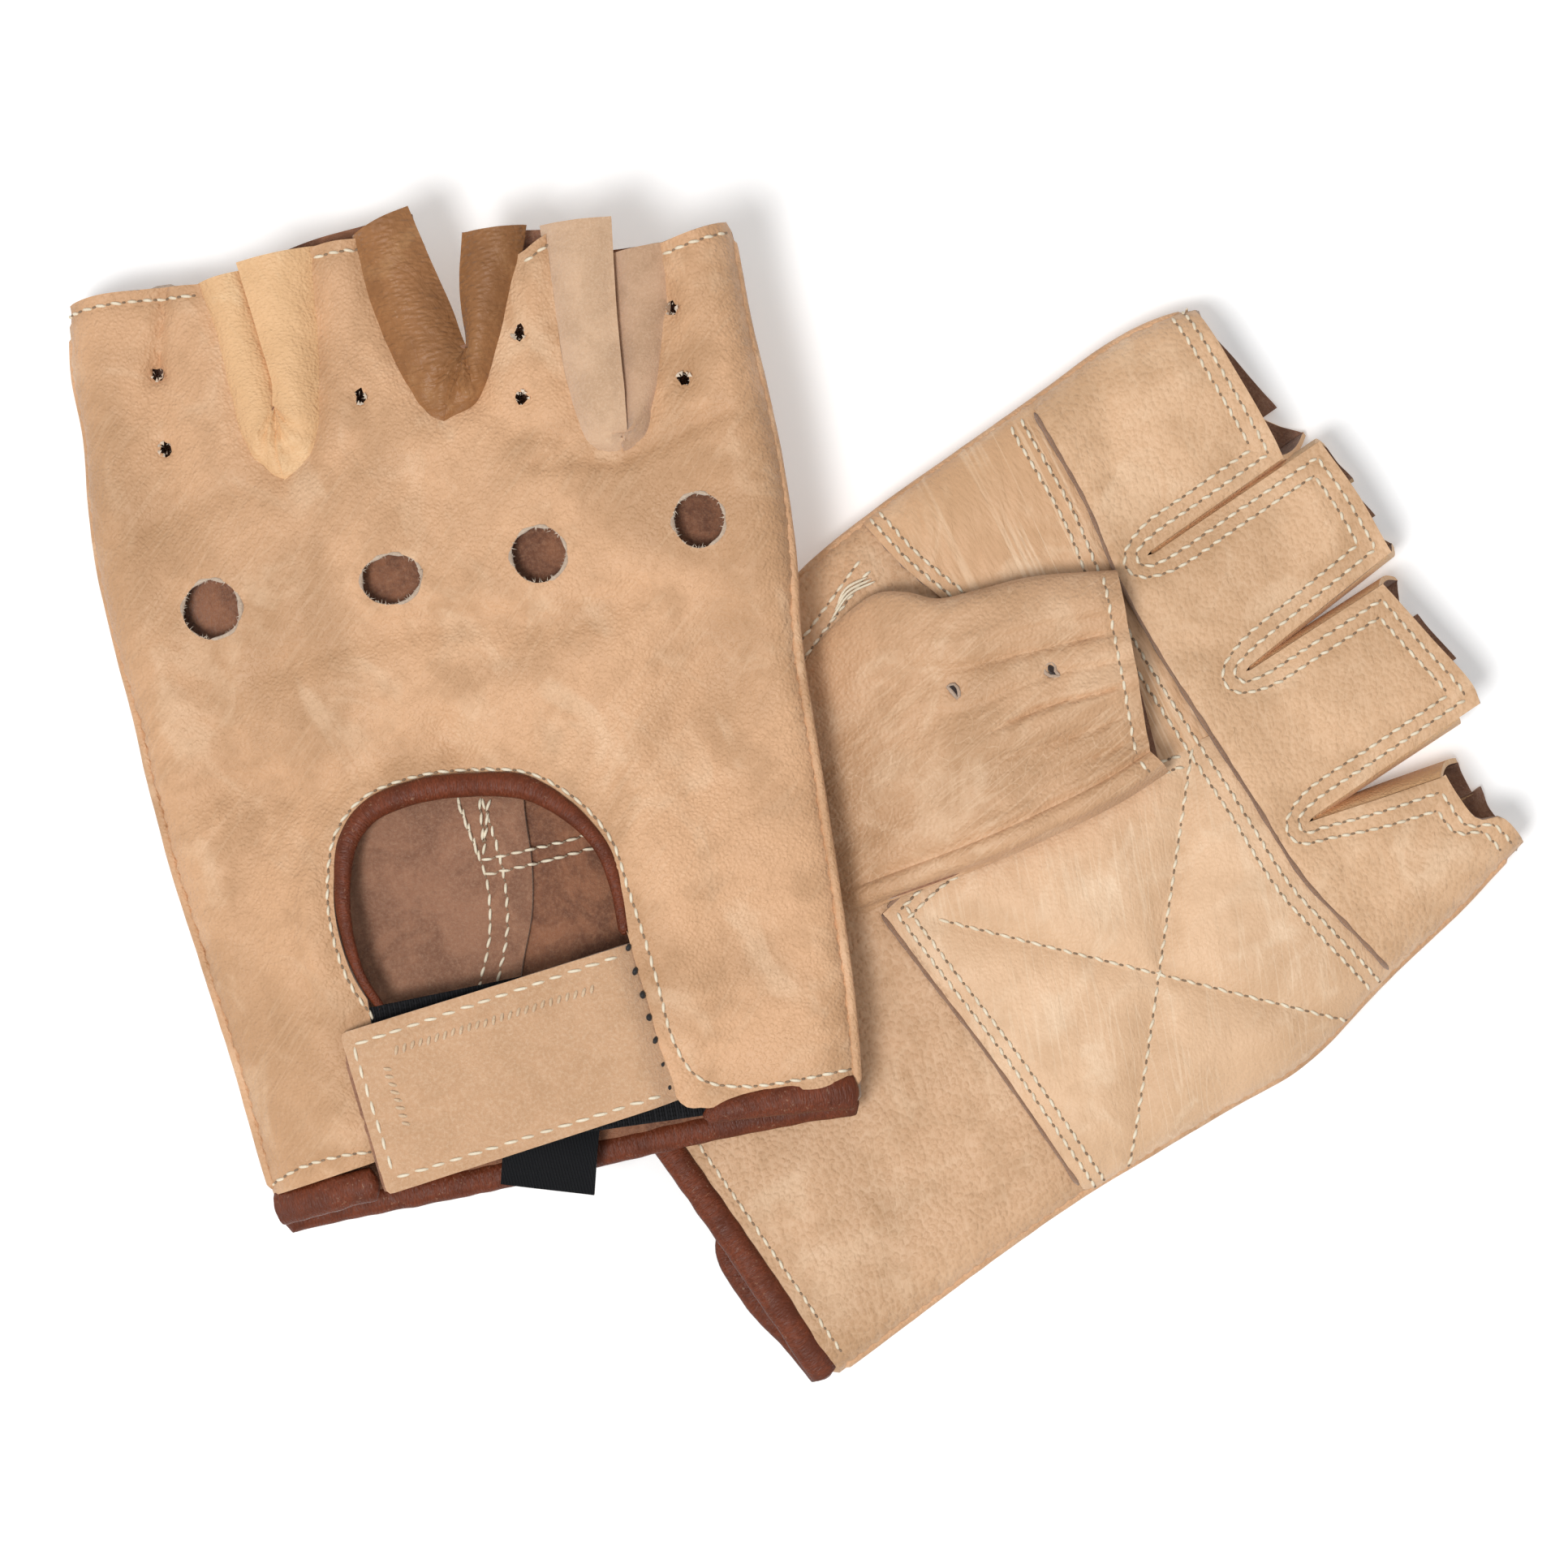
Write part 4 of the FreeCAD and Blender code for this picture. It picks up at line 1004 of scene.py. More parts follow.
# ---- Outlines worked out from a glove's shape --------------------------------------------------------------
def end_line(ends, u_low, u_high):
    """The open end of one stall between two u values, from low u to high."""
    line = smooth(ends, 0.8)
    u = np.linspace(u_low, u_high, max(int((u_high - u_low) / 0.9), 2))
    return np.column_stack([u, np.interp(u, line[:, 0], line[:, 1])])


def end_v(ends, u):
    """The v of a stall's open end at this u."""
    return float(np.interp(u, *smooth(ends, 1.0).T))


def side_runs(g, v_left, v_right):
    """The two side edges from these heights up."""
    return g.left_edge[g.left_edge[:, 1] > v_left], g.right_edge[g.right_edge[:, 1] > v_right]


def back_loop(g):
    """Outline of the back leather: up the index side, along the stalls and down the little finger side."""
    left, right = side_runs(g, SIDE_START, SIDE_START)
    runs = [left[left[:, 1] < end_v(g.back_ends[0], left[-1, 0] + 1) - 0.3]]
    edges = [(runs[0][-1, 0] + 0.4, g.lobes[0]["left"][-1][0])]
    for a, b in zip(g.lobes[:-1], g.lobes[1:]):
        edges.append((a["right"][-1][0], b["left"][-1][0]))
    right = right[right[:, 1] < end_v(g.back_ends[3], right[-1, 0] - 1) - 0.3]
    edges.append((g.lobes[-1]["right"][-1][0], right[-1, 0] - 0.4))
    for i, (low, high) in enumerate(edges):
        line = end_line(g.back_ends[i], low, high)
        runs.append(line)
        if i < 3:
            lobe = g.lobes[i]
            down = smooth(lobe["left"], 1.0)[::-1]
            up = smooth(lobe["right"], 1.0)
            v_next = end_v(g.back_ends[i + 1], edges[i + 1][0])
            runs.append(down[down[:, 1] < line[-1, 1] - 0.5])
            runs.append(up[(up[:, 1] < v_next - 0.5)][1:])
    runs.append(right[::-1])
    runs.append(smooth([(right[0, 0] - 0.5, 2.2), (30, 2.5), (22.8, 2.7)], 1.0))
    runs.append(smooth(FLAP[::-1], 1.0)[1:])
    arch = beside(smooth(ARCH, 1.0), ARCH_EDGE)[::-1]
    runs.append(arch[arch[:, 1] > 27])
    runs.append(smooth([(-24.2, 22), (-26.2, 12), (-27.4, 3.6)], 1.0))
    runs.append(smooth([(-28.4, 3.4), (left[0, 0] + 0.5, 0.9)], 1.0))
    return np.vstack(runs)


def palm_loop(g, foot):
    """Outline of the stalls' palm side above the line foot, which runs from the index side across."""
    left, right = side_runs(g, foot[0, 1] + 0.3, foot[-1, 1] + 0.3)
    left = left[left[:, 1] < end_v(g.palm_ends[0], left[-1, 0] + 1) - 0.3]
    right = right[right[:, 1] < end_v(g.palm_ends[3], right[-1, 0] - 1) - 0.3]
    runs = [left]
    low = left[-1, 0] + 0.4
    for i in range(4):
        if i < 3:
            top_left, top_right, bottom_left, bottom_right, bottom = g.slits[i]
        high = top_left if i < 3 else right[-1, 0] - 0.4
        line = end_line(g.palm_ends[i], low, high)
        runs.append(line)
        if i < 3:
            next_v = end_v(g.palm_ends[i + 1], top_right)
            runs.append(smooth([(top_left, line[-1, 1] - 0.9), (bottom_left, bottom + 0.9)], 1.0))
            runs.append(np.array([((bottom_left + bottom_right) / 2, bottom)]))
            runs.append(smooth([(bottom_right, bottom + 0.9), (top_right, next_v - 0.9)], 1.0))
            low = top_right
    runs.append(right[::-1])
    runs.append(foot[::-1][1:-1])
    return np.vstack(runs)


def round_hole(u, v, half_u, half_v, ragged, seed, count=26):
    """A hand-punched hole: nearly round, with a slightly ragged edge."""
    angle = np.linspace(0, 2 * math.pi, count, endpoint=False)
    wobble = np.array([1 + ragged * noise.noise((math.cos(a) * 1.6, math.sin(a) * 1.6, seed)) for a in angle])
    return np.column_stack([u + np.cos(angle) * half_u * wobble, v + np.sin(angle) * half_v * wobble])


def prepare(g):
    """Lines on the palm that several pieces share."""
    lift = g.fold - 105.0
    g.pad_foot = smooth([(u, v + lift) for u, v in PAD_FOOT], 1.0)
    left, right = g.sides(g.pad_foot[:, 1])
    g.pad_foot = g.pad_foot[(g.pad_foot[:, 0] > left + 0.2) & (g.pad_foot[:, 0] < right - 0.2)]
    lower = g.pad_foot - [0, 2.4]
    g.palm_top_stitches = [lower, lower - [0, 1.9]]
    g.patch_top = g.pad_foot + [0, 4.0]
    side = [(1.2, 98.5 + lift), (-1.2, 90), (-3.6, 72), (-5.4, 56), (-3.9, 45.6)]
    g.patch_side = smooth(side, 1.0)
    foot = smooth(PATCH_FOOT, 1.0)
    _, right = g.sides(foot[:, 1])
    g.patch_foot = foot[foot[:, 0] < right - 0.2]
    low = g.patch_foot + [0.8, 1.7]
    g.patch_stitches = [low, low + [0, 1.7], beside(g.patch_side, -1.4)[2:-1],
                        beside(g.patch_side, -3.1)[2:-2]]
    g.patch_stitch = np.vstack([g.patch_side, g.patch_foot])
    g.slit_edges = []
    g.pad_stitches = []
    rows = []
    low = g.sides(130)[0] + 1.2
    for i in range(4):
        high = g.slits[i][0] if i < 3 else g.sides(128)[1] - 1.2
        for inset in (1.8, 3.8):
            a = low + (inset if i else 0)
            b = high - (inset if i < 3 else 0)
            line = end_line(g.palm_ends[i], a, b) - [0, inset]
            g.pad_stitches.append(line)
            rows.append((i, inset, line[0], line[-1]))
        if i < 3:
            low = g.slits[i][1]
    for i, (tl, tr, bl, br, bottom) in enumerate(g.slits):
        g.slit_edges.append(np.array([(tl, 136), (bl, bottom), (br, bottom), (tr, 136)], float))
        for inset in (1.8, 3.8):
            start = next(r[3] for r in rows if r[:2] == (i, inset))
            stop = next(r[2] for r in rows if r[:2] == (i + 1, inset))
            path = [tuple(start), ((start[0] + bl - inset) / 2, (start[1] + bottom) / 2),
                    (bl - inset * 0.95, bottom + 1.5), (bl - inset * 0.45, bottom - inset * 0.75),
                    ((bl + br) / 2, bottom - inset), (br + inset * 0.45, bottom - inset * 0.75),
                    (br + inset * 0.95, bottom + 1.5), ((stop[0] + br + inset) / 2, (stop[1] + bottom) / 2),
                    tuple(stop)]
            g.pad_stitches.append(smooth(path, 0.8))


# ---- Back of the glove -------------------------------------------------------------------------------------
def back_seams(g):
    """Stitched lines on the back leather."""
    arch = evenly(smooth(ARCH_STITCHES, 0.8), 0.8)
    wrist_left = smooth([(-45, 2.4), (-38.9, 4.6), (-32.2, 5.4), (-27.6, 5.2)], 1.0)
    hems = []
    spans = [(g.sides(130)[0] + 1.2, g.lobes[0]["left"][-1][0]),
             (g.lobes[0]["right"][-1][0], g.lobes[1]["left"][-1][0]),
             (g.lobes[1]["right"][-1][0] - 0.6, g.lobes[2]["left"][-1][0]),
             (g.lobes[2]["right"][-1][0], g.sides(126)[1] - 0.8)]
    for ends, (a, b) in zip(g.back_ends, spans):
        hems.append(end_line(ends, a, b) - [0, 1.7])
    return arch, wrist_left, hems


def build_back(g):
    holes = [round_hole(u, v, a, b, 0.05, i * 3.1, 44) for i, (u, v, a, b) in enumerate(KNUCKLES)]
    holes += [round_hole(u, v, 0.8, 1.0, 0.7, 20 + i, 11) for i, (u, v) in enumerate(VENTS)]
    arch, wrist_left, hems = back_seams(g)
    seams = [arch, wrist_left, *hems]

    def surface(u, v):
        top = back_surface(g, u, v)
        for line in seams:
            top = top - 0.3 * bump(distance_to(u, v, evenly(line, 2.0)), 0.7)
        return top

    g.back_top = surface
    leather = sheet("back_leather", g, [back_loop(g), *holes], surface, LEATHER, 1,
                    ["back", "suede_light", "raw_edge"], seams)
    settle(leather, g, "fold", "tan_leather", "back_panel", "back_fingers")
    lines = [on(line, surface, SEAM_LIFT) for line in seams]
    thread = stitch_mesh("back_stitching", g, lines, "thread")
    settle(thread, g, "fold", "thread")
    build_fuzz(g, surface)


def build_fuzz(g, surface):
    """Short pale fibres round the knuckle holes and the vents, where the leather was punched."""
    draw = np.random.default_rng(11 + len(g.side))
    verts, faces = [], []
    rings = [(u, v, a, b, 90, 0.8) for u, v, a, b in KNUCKLES] + [(u, v, 0.9, 0.85, 9, 0.6) for u, v in VENTS]
    for u, v in VENTS:
        z = float(surface(np.array([u + 1.3]), np.array([v]))[0])
        lean_to = draw.uniform(0, 6.28)
        for k in range(4):
            angle = lean_to + k * 0.75 + draw.uniform(-0.3, 0.3)
            way = np.array([math.cos(angle), math.sin(angle), 0])
            p = np.array([u, v, z + 0.02]) + way * draw.uniform(1.0, 1.3)
            q = np.array([u, v, z]) + way * draw.uniform(0.5, 0.8) + [0, 0, draw.uniform(-0.6, 0.25)]
            add_fibre(verts, faces, p, q, draw.uniform(0.22, 0.42))
    for u, v, a, b, count, reach in rings:
        for _ in range(count):
            angle = draw.uniform(0, 2 * math.pi)
            r = 1 + draw.normal(0, 0.02)
            start = np.array([u + math.cos(angle) * a * r, v + math.sin(angle) * b * r])
            lean = angle + draw.normal(math.pi, 0.9)
            size = draw.uniform(0.25, 1.0) * reach
            stop = start + size * np.array([math.cos(lean), math.sin(lean)])
            z = float(surface(start[:1], start[1:])[0])
            p = np.array([*start, z - 0.1])
            q = np.array([*stop, z - draw.uniform(0.0, 0.7)])
            add_fibre(verts, faces, p, q, draw.uniform(0.035, 0.07))
    for i, (u, v, a, b) in enumerate(KNUCKLES):
        ring = round_hole(u, v, a + 0.02, b + 0.02, 0.05, i * 3.1, 44)
        ring = on(np.vstack([ring, ring[:2]]), surface, -0.38)
        edge = sweep(f"knuckle_hole_edge_{i}", g, ring, 0.42, 0.6, ["hole_rim"], 2.6,
                     taper=False, sides=8)
        settle(edge, g, "fold", "tan_leather")
    points = np.array(verts)
    fibres = make_object(g, "punched_edge_fibres", points, faces, ["fuzz"], None, points, sharp=80)
    settle(fibres, g, "fold", "tan_leather")


def add_fibre(verts, faces, p, q, radius):
    """A thin three-sided fibre from p to a point at q."""
    along = q - p
    across = np.cross(along, [0, 0, 1.0])
    across = across / (np.linalg.norm(across) + 1e-9) * radius
    up = np.array([0, 0, radius])
    base = len(verts)
    verts += [p - across, p + across, p + up, q]
    faces += [(base, base + 1, base + 2), (base, base + 3, base + 1), (base + 1, base + 3, base + 2),
              (base + 2, base + 3, base)]


def build_gussets(g):
    """The fourchettes: on the back each shows as two soft lobes, which turn down into the slit between two
    stalls."""
    names = ("index_middle", "middle_ring", "ring_little")
    for number, name in enumerate(names):
        lobe = g.lobes[number]
        finish = g.gusset_finish[number]
        tl, tr, bl, br, bottom = g.slits[number]
        rows_t = np.linspace(0, 1, 34)
        for half, sign in (("left", -1), ("right", 1)):
            # The grey fourchette's right lobe takes a darker copy of its suede, as painted shade.
            if half == "right" and finish == "grey_gusset":
                finish = "grey_gusset_shade"
            edge = evenly(smooth(lobe[half], 0.6), 0.4)
            slit = evenly(smooth(lobe["slit_" + half], 0.6), 0.4)
            foot = (bl, bottom + 0.5) if half == "left" else (br, bottom + 0.5)
            head_u = tl if half == "left" else tr
            head_v = end_v(g.palm_ends[number + (half == "right")], head_u)
            head = (head_u, min(slit[-1, 1] - 0.5, head_v - 0.8))
            rows = []
            meet_left, meet_right = lobe["slit_left"][0], lobe["slit_right"][0]
            meet = np.array([(meet_left[0] + meet_right[0]) / 2, meet_left[1]])
            overlap = np.array([0.12 * -sign, 0])
            over = float(lobe.get("over") == half)
            below = float("over" in lobe) - over
            for t in rows_t:
                e = np.array([np.interp(t, np.linspace(0, 1, len(edge)), edge[:, i]) for i in range(2)])
                s_t = max((t - 0.22) / 0.78, 0)
                c = np.array([np.interp(s_t, np.linspace(0, 1, len(slit)), slit[:, i]) for i in range(2)])
                c = c + (meet + overlap - c) * (1 - step_up(s_t, 0, 0.16))
                e = e + (e - c) / (np.linalg.norm(e - c) + 1e-6) * 0.9 + overlap * (1 - step_up(t, 0, 0.2))
                lap = step_up(t, 0.16, 0.4)
                c = c + np.array([-sign * 0.8 * over * lap, 0])
                top_e = float(back_surface(g, e[:1], e[1:])[0]) - 0.85 - 0.5 * over * lap
                top_c = float(back_surface(g, c[:1], c[1:])[0]) - 0.75 * step_up(t, 0.12, 0.4)
                top_c += (1.3 * over - 0.9 * below) * lap
                row = []
                for s in np.linspace(0, 1, 15):
                    q = e + (c - e) * s
                    round_s = math.sin(math.pi * min(s * 1.04, 1)) ** 0.8
                    rise = lobe["full"] * round_s * (0.45 + 0.55 * step_up(t, 0, 0.35))
                    pucker = 0.45 * math.sin(t * 46 + s * 5 * sign) * (1 - step_up(t, 0.1, 0.42))
                    rise += pucker * math.sin(math.pi * s) + 0.22 * noise.noise((q[0] / 3, q[1] / 3, number))
                    row.append((q[0], q[1], top_e + (top_c - top_e) * s + rise))
                wall_top = row[-1]
                p = np.array(foot) + (np.array(head) - np.array(foot)) * s_t
                floor_w = float(pad_surface(g, p[:1], p[1:])[0]) + 0.9
                for s in np.linspace(0, 1, 12)[1:]:
                    turn = math.sin(s * math.pi / 2)
                    q = c + (p - c) * s
                    w = wall_top[2] - (wall_top[2] - floor_w) * s - 0.5 * turn
                    bow = (0.4 if g.side == "right" else -1.0) * math.sin(math.pi * s) * sign
                    row.append((q[0] + bow, q[1], max(w, floor_w)))
                rows.append(row)
            if half == "right":
                rows = [row[::-1] for row in rows]
            finishes = [finish, "suede_light", finish]
            piece = loft(f"fourchette_{name}_{half}", g, rows, finishes, 0.8,
                         local_shift=number * 31.0 + (7 if half == "left" else 0))
            nodes = ["fourchette_" + name] if half == "left" else []
            settle(piece, g, "stalls", GUSSET_SLOTS[g.gusset_finish[number]], *nodes)


def build_bindings(g):
    """The rolled bindings of the window over the wrist and of the wrist edge."""
    arch = evenly(smooth(ARCH, 0.8), 0.8)
    share = np.arange(len(arch)) / (len(arch) - 1)
    near, far = beside(arch, 1.0), beside(arch, 2.2)
    inner = near + (far - near) * (1 - 0.5 * step_up(np.abs(share - 0.45), 0.25, 0.5))[:, None]
    depth = -0.25 - 0.6 * step_up(np.abs(share - 0.5), 0.3, 0.5)
    path = np.column_stack([inner, back_surface(g, inner[:, 0], inner[:, 1]) + depth])
    band = sweep("arch_binding_leather", g, path, 3.2, 2.4, ["binding"], 0.05, seed=2.0,
                 swells=((0, 0.1, 0.24, 0.4, 0.66, 0.82, 1), (0.42, 0.5, 0.78, 1.12, 1.14, 0.72, 0.5)))
    settle(band, g, "glove", "binding_leather", "arch_binding")
    low, high = (float(edge) for edge in g.sides(0.0))
    top = HEIGHT - 1.0
    left = smooth([(low + 0.2, -1.2), (low + 8, -0.4), (-32, 0.2), (-27.6, 0.4)], 0.8)
    if g.side == "right":
        right = [(21.8, 1.6), (28, 2.0), (38, 1.7), (high - 0.4, 1.0)]
        palm = [(low + 0.6, -3.2), (-30, -2.6), (-12, -2.2), (4, -1.4), (24, -0.6), (high - 1.0, -0.6)]
        raised = 0.5
    else:
        right = [(21.8, -0.6), (25, -3.0), (30, -3.4), (36, -2.8), (42, -1.6), (high - 0.8, -0.8)]
        palm = [(low + 0.6, -1.5), (-20, -0.8), (4, -0.8), (24, -0.6), (high - 1.0, -0.8)]
        raised = 0.0
    right, palm = smooth(right, 0.8), smooth(palm, 0.8)
    left_w = np.interp(left[:, 0], [low, low + 4, low + 10], [MID + 1.0, top - 1.2, top])
    right_w = np.interp(right[:, 0], [high - 9, high - 3, high], [top, top - 1.2, MID + 1.0])
    right_w = right_w + raised * step_up(right[:, 0], 22, 27)
    palm_w = np.interp(palm[:, 0], [low, low + 4, low + 10, high - 10, high - 4, high],
                       [MID - 1, 1.4, 0.5, 0.5, 1.4, MID - 1])
    tapered = ((0, 0.2, 0.5, 1), (0.45, 0.68, 0.9, 1))
    rolls = (("wrist_binding_back_left", left, left_w, 5.2, 2.9, 0.07, EVEN, ["wrist_binding_back"]),
             ("wrist_binding_back_right", right, right_w, 5.2, 2.7, 0.045, tapered, []),
             ("wrist_binding_palm_leather", palm, palm_w, 4.3, 2.6, 0.07, EVEN, ["wrist_binding_palm"]))
    for i, (name, line, line_w, width, thick, wobble, swells, nodes) in enumerate(rolls):
        piece = sweep(name, g, np.column_stack([line, line_w]), width, thick, ["binding"],
                      wobble, seed=5.0 + i, swells=swells)
        settle(piece, g, "glove", "binding_leather", *nodes)


# ---- Palm side ---------------------------------------------------------------------------------------------
def build_palm(g):
    foot_v = -0.2 if g.side == "left" else -1.4
    low, high = (float(edge) for edge in g.sides(foot_v))
    foot = smooth([(low + 0.6, foot_v), (high - 0.6, foot_v)], 1.0)
    left, right = side_runs(g, foot_v + 0.4, foot_v + 0.4)
    top = g.patch_top
    left = left[left[:, 1] < top[0, 1] - 0.4]
    right = right[right[:, 1] < top[-1, 1] - 0.4]
    loop = np.vstack([left, top, right[::-1], foot[::-1][1:-1]])
    wrist = foot + [0, WRIST_HEM]

    def surface(u, v):
        w = palm_surface(g, u, v)
        return w + 0.3 * bump(distance_to(u, v, wrist), 0.7)

    heel = sheet("palm_leather", g, [loop], surface, LEATHER, -1,
                 ["heel", "suede", "raw_edge"], [wrist[2:-2]])
    settle(heel, g, "fold", "tan_leather", "palm_heel", "thenar_panel")
    patch_face, panel_face, pad_face = (partial(face, g) for face in
                                        (patch_surface, side_panel_surface, pad_surface))
    patch_right = g.right_edge[(g.right_edge[:, 1] > g.patch_foot[-1, 1] + 0.4)
                               & (g.right_edge[:, 1] < np.interp(47, *g.patch_top.T) - 0.4)]
    top = g.patch_top[(g.patch_top[:, 0] > g.patch_side[0, 0] + 0.5)]
    loop = np.vstack([g.patch_side[::-1], top, patch_right[::-1] + [0.1, 0], g.patch_foot[::-1][:-1]])
    seams = [*g.patch_stitches[:3], *QUILT_LINES, *g.palm_top_stitches]
    patch = sheet("palm_patch_leather", g, [loop], patch_face, LEATHER, -1,
                  ["patch", "suede", "cut_edge"], seams)
    settle(patch, g, "fold", "tan_leather", "palm_patch", "patch_padding")
    left = g.left_edge[(g.left_edge[:, 1] > 77) & (g.left_edge[:, 1] < g.patch_top[0, 1] - 0.4)]
    top = g.patch_top[g.patch_top[:, 0] < PANEL_END]
    side_foot = smooth([(-54, 76.4), (-46, 77.4), (-38, 79.6), (-18, 86), (PANEL_END, 92)], 1.0)
    side_foot = side_foot[side_foot[:, 0] > g.sides(76.4)[0] + 0.3]
    high = np.interp(PANEL_END, *g.patch_top.T) - 0.6
    end = smooth([(PANEL_END + 0.3, high), (PANEL_END + 0.3, 92.6)], 1.0)
    loop = np.vstack([left, top, end, side_foot[::-1][1:]])
    panel = sheet("index_side_leather", g, [loop], panel_face, LEATHER, -1,
                  ["side_panel", "suede", "cut_edge"], [side_foot + [0, 1.2]], spacing=0.8)
    settle(panel, g, "fold", "tan_leather", "index_side_panel")
    pad = sheet("finger_pad_leather", g, [palm_loop(g, g.pad_foot)], pad_face, LEATHER, -1,
                ["palm", "suede", "cut_edge"], g.pad_stitches)
    settle(pad, g, "fold", "tan_leather", "finger_pad")
    for name, line, shift, face in (("finger_pad", g.pad_foot[1:-1], [0, -0.22], pad_face),
                                    ("palm_patch_side", g.patch_side[1:-1], [-0.22, 0], patch_face),
                                    ("palm_patch_foot", g.patch_foot[:-1], [0, -0.22], patch_face)):
        rim = on(line + shift, lambda u, v: face(u, v + 0.3), 0.42)
        rim = sweep(f"{name}_cut_edge", g, rim, 0.62, 0.95, ["cut_edge"], 0.6, sides=8, seed=3.0)
        settle(rim, g, "fold", "tan_leather")
    lift = -SEAM_LIFT
    lines = [on(wrist[2:-2], surface, lift)]
    lines += [on(s, patch_face, lift) for s in g.patch_stitches]

    def under_pad(u, v):
        share = step_up(u, 0.5, 2.5)
        return panel_face(u, v) * (1 - share) + patch_face(u, v) * share

    lines += [on(s, under_pad, lift) for s in g.palm_top_stitches]
    lines += [on(s, pad_face, lift) for s in g.pad_stitches]
    lines += [on(side_foot[:-6] + [0, v], panel_face, lift) for v in (1.2, 2.9)]
    for line in THUMB_ROOT_STITCHES:
        lines.append(on(smooth(line, 0.8), surface, lift))
    for k in range(3):
        strand = smooth([(-44.7 - 0.7 * k, 64.4 + k), (-46.2 - 0.5 * k, 68.6),
                         (-45.6 - 0.6 * k, 72.8 - 0.3 * k)], 0.5)
        strand = on(strand, surface, -0.45)
        strand = sweep(f"loose_strand_{k}", g, strand, 0.4, 0.4, ["thread"], 0.2, sides=8, seed=k)
        settle(strand, g, "fold", "thread")
    thread = stitch_mesh("palm_stitching", g, lines, "thread", pitch=2.1, length=1.55, seed=5, outward=-1)
    settle(thread, g, "fold", "thread")
    lines = [on(s, patch_face, lift) for s in QUILT_LINES]
    quilting = stitch_mesh("patch_quilting", g, lines, "thread", seed=6, outward=-1)
    settle(quilting, g, "fold", "thread", "patch_thread")


def build_side_welts(g):
    """The side seams: a thin rounded welt along each side of the glove. On the upper glove it rolls up onto
    the back over the wrist's half."""
    for name, line, inward, top in (("index", g.left_edge, 0.6, 134.5),
                                    ("little", g.right_edge, -0.6, 128.5)):
        line = line[(line[:, 1] > 1.0) & (line[:, 1] < top)]
        u, v = line[:, 0] + inward, line[:, 1]
        rolled = step_up(v, 92, 66) * (g.side == "right")
        path = np.column_stack([u, v, MID + (back_surface(g, u, v) - 0.35 - MID) * rolled])
        welt = sweep(f"{name}_side_welt", g, path, 1.6, 1.9, ["back"], 0.05, seed=9.0)
        settle(welt, g, "fold", "tan_leather")


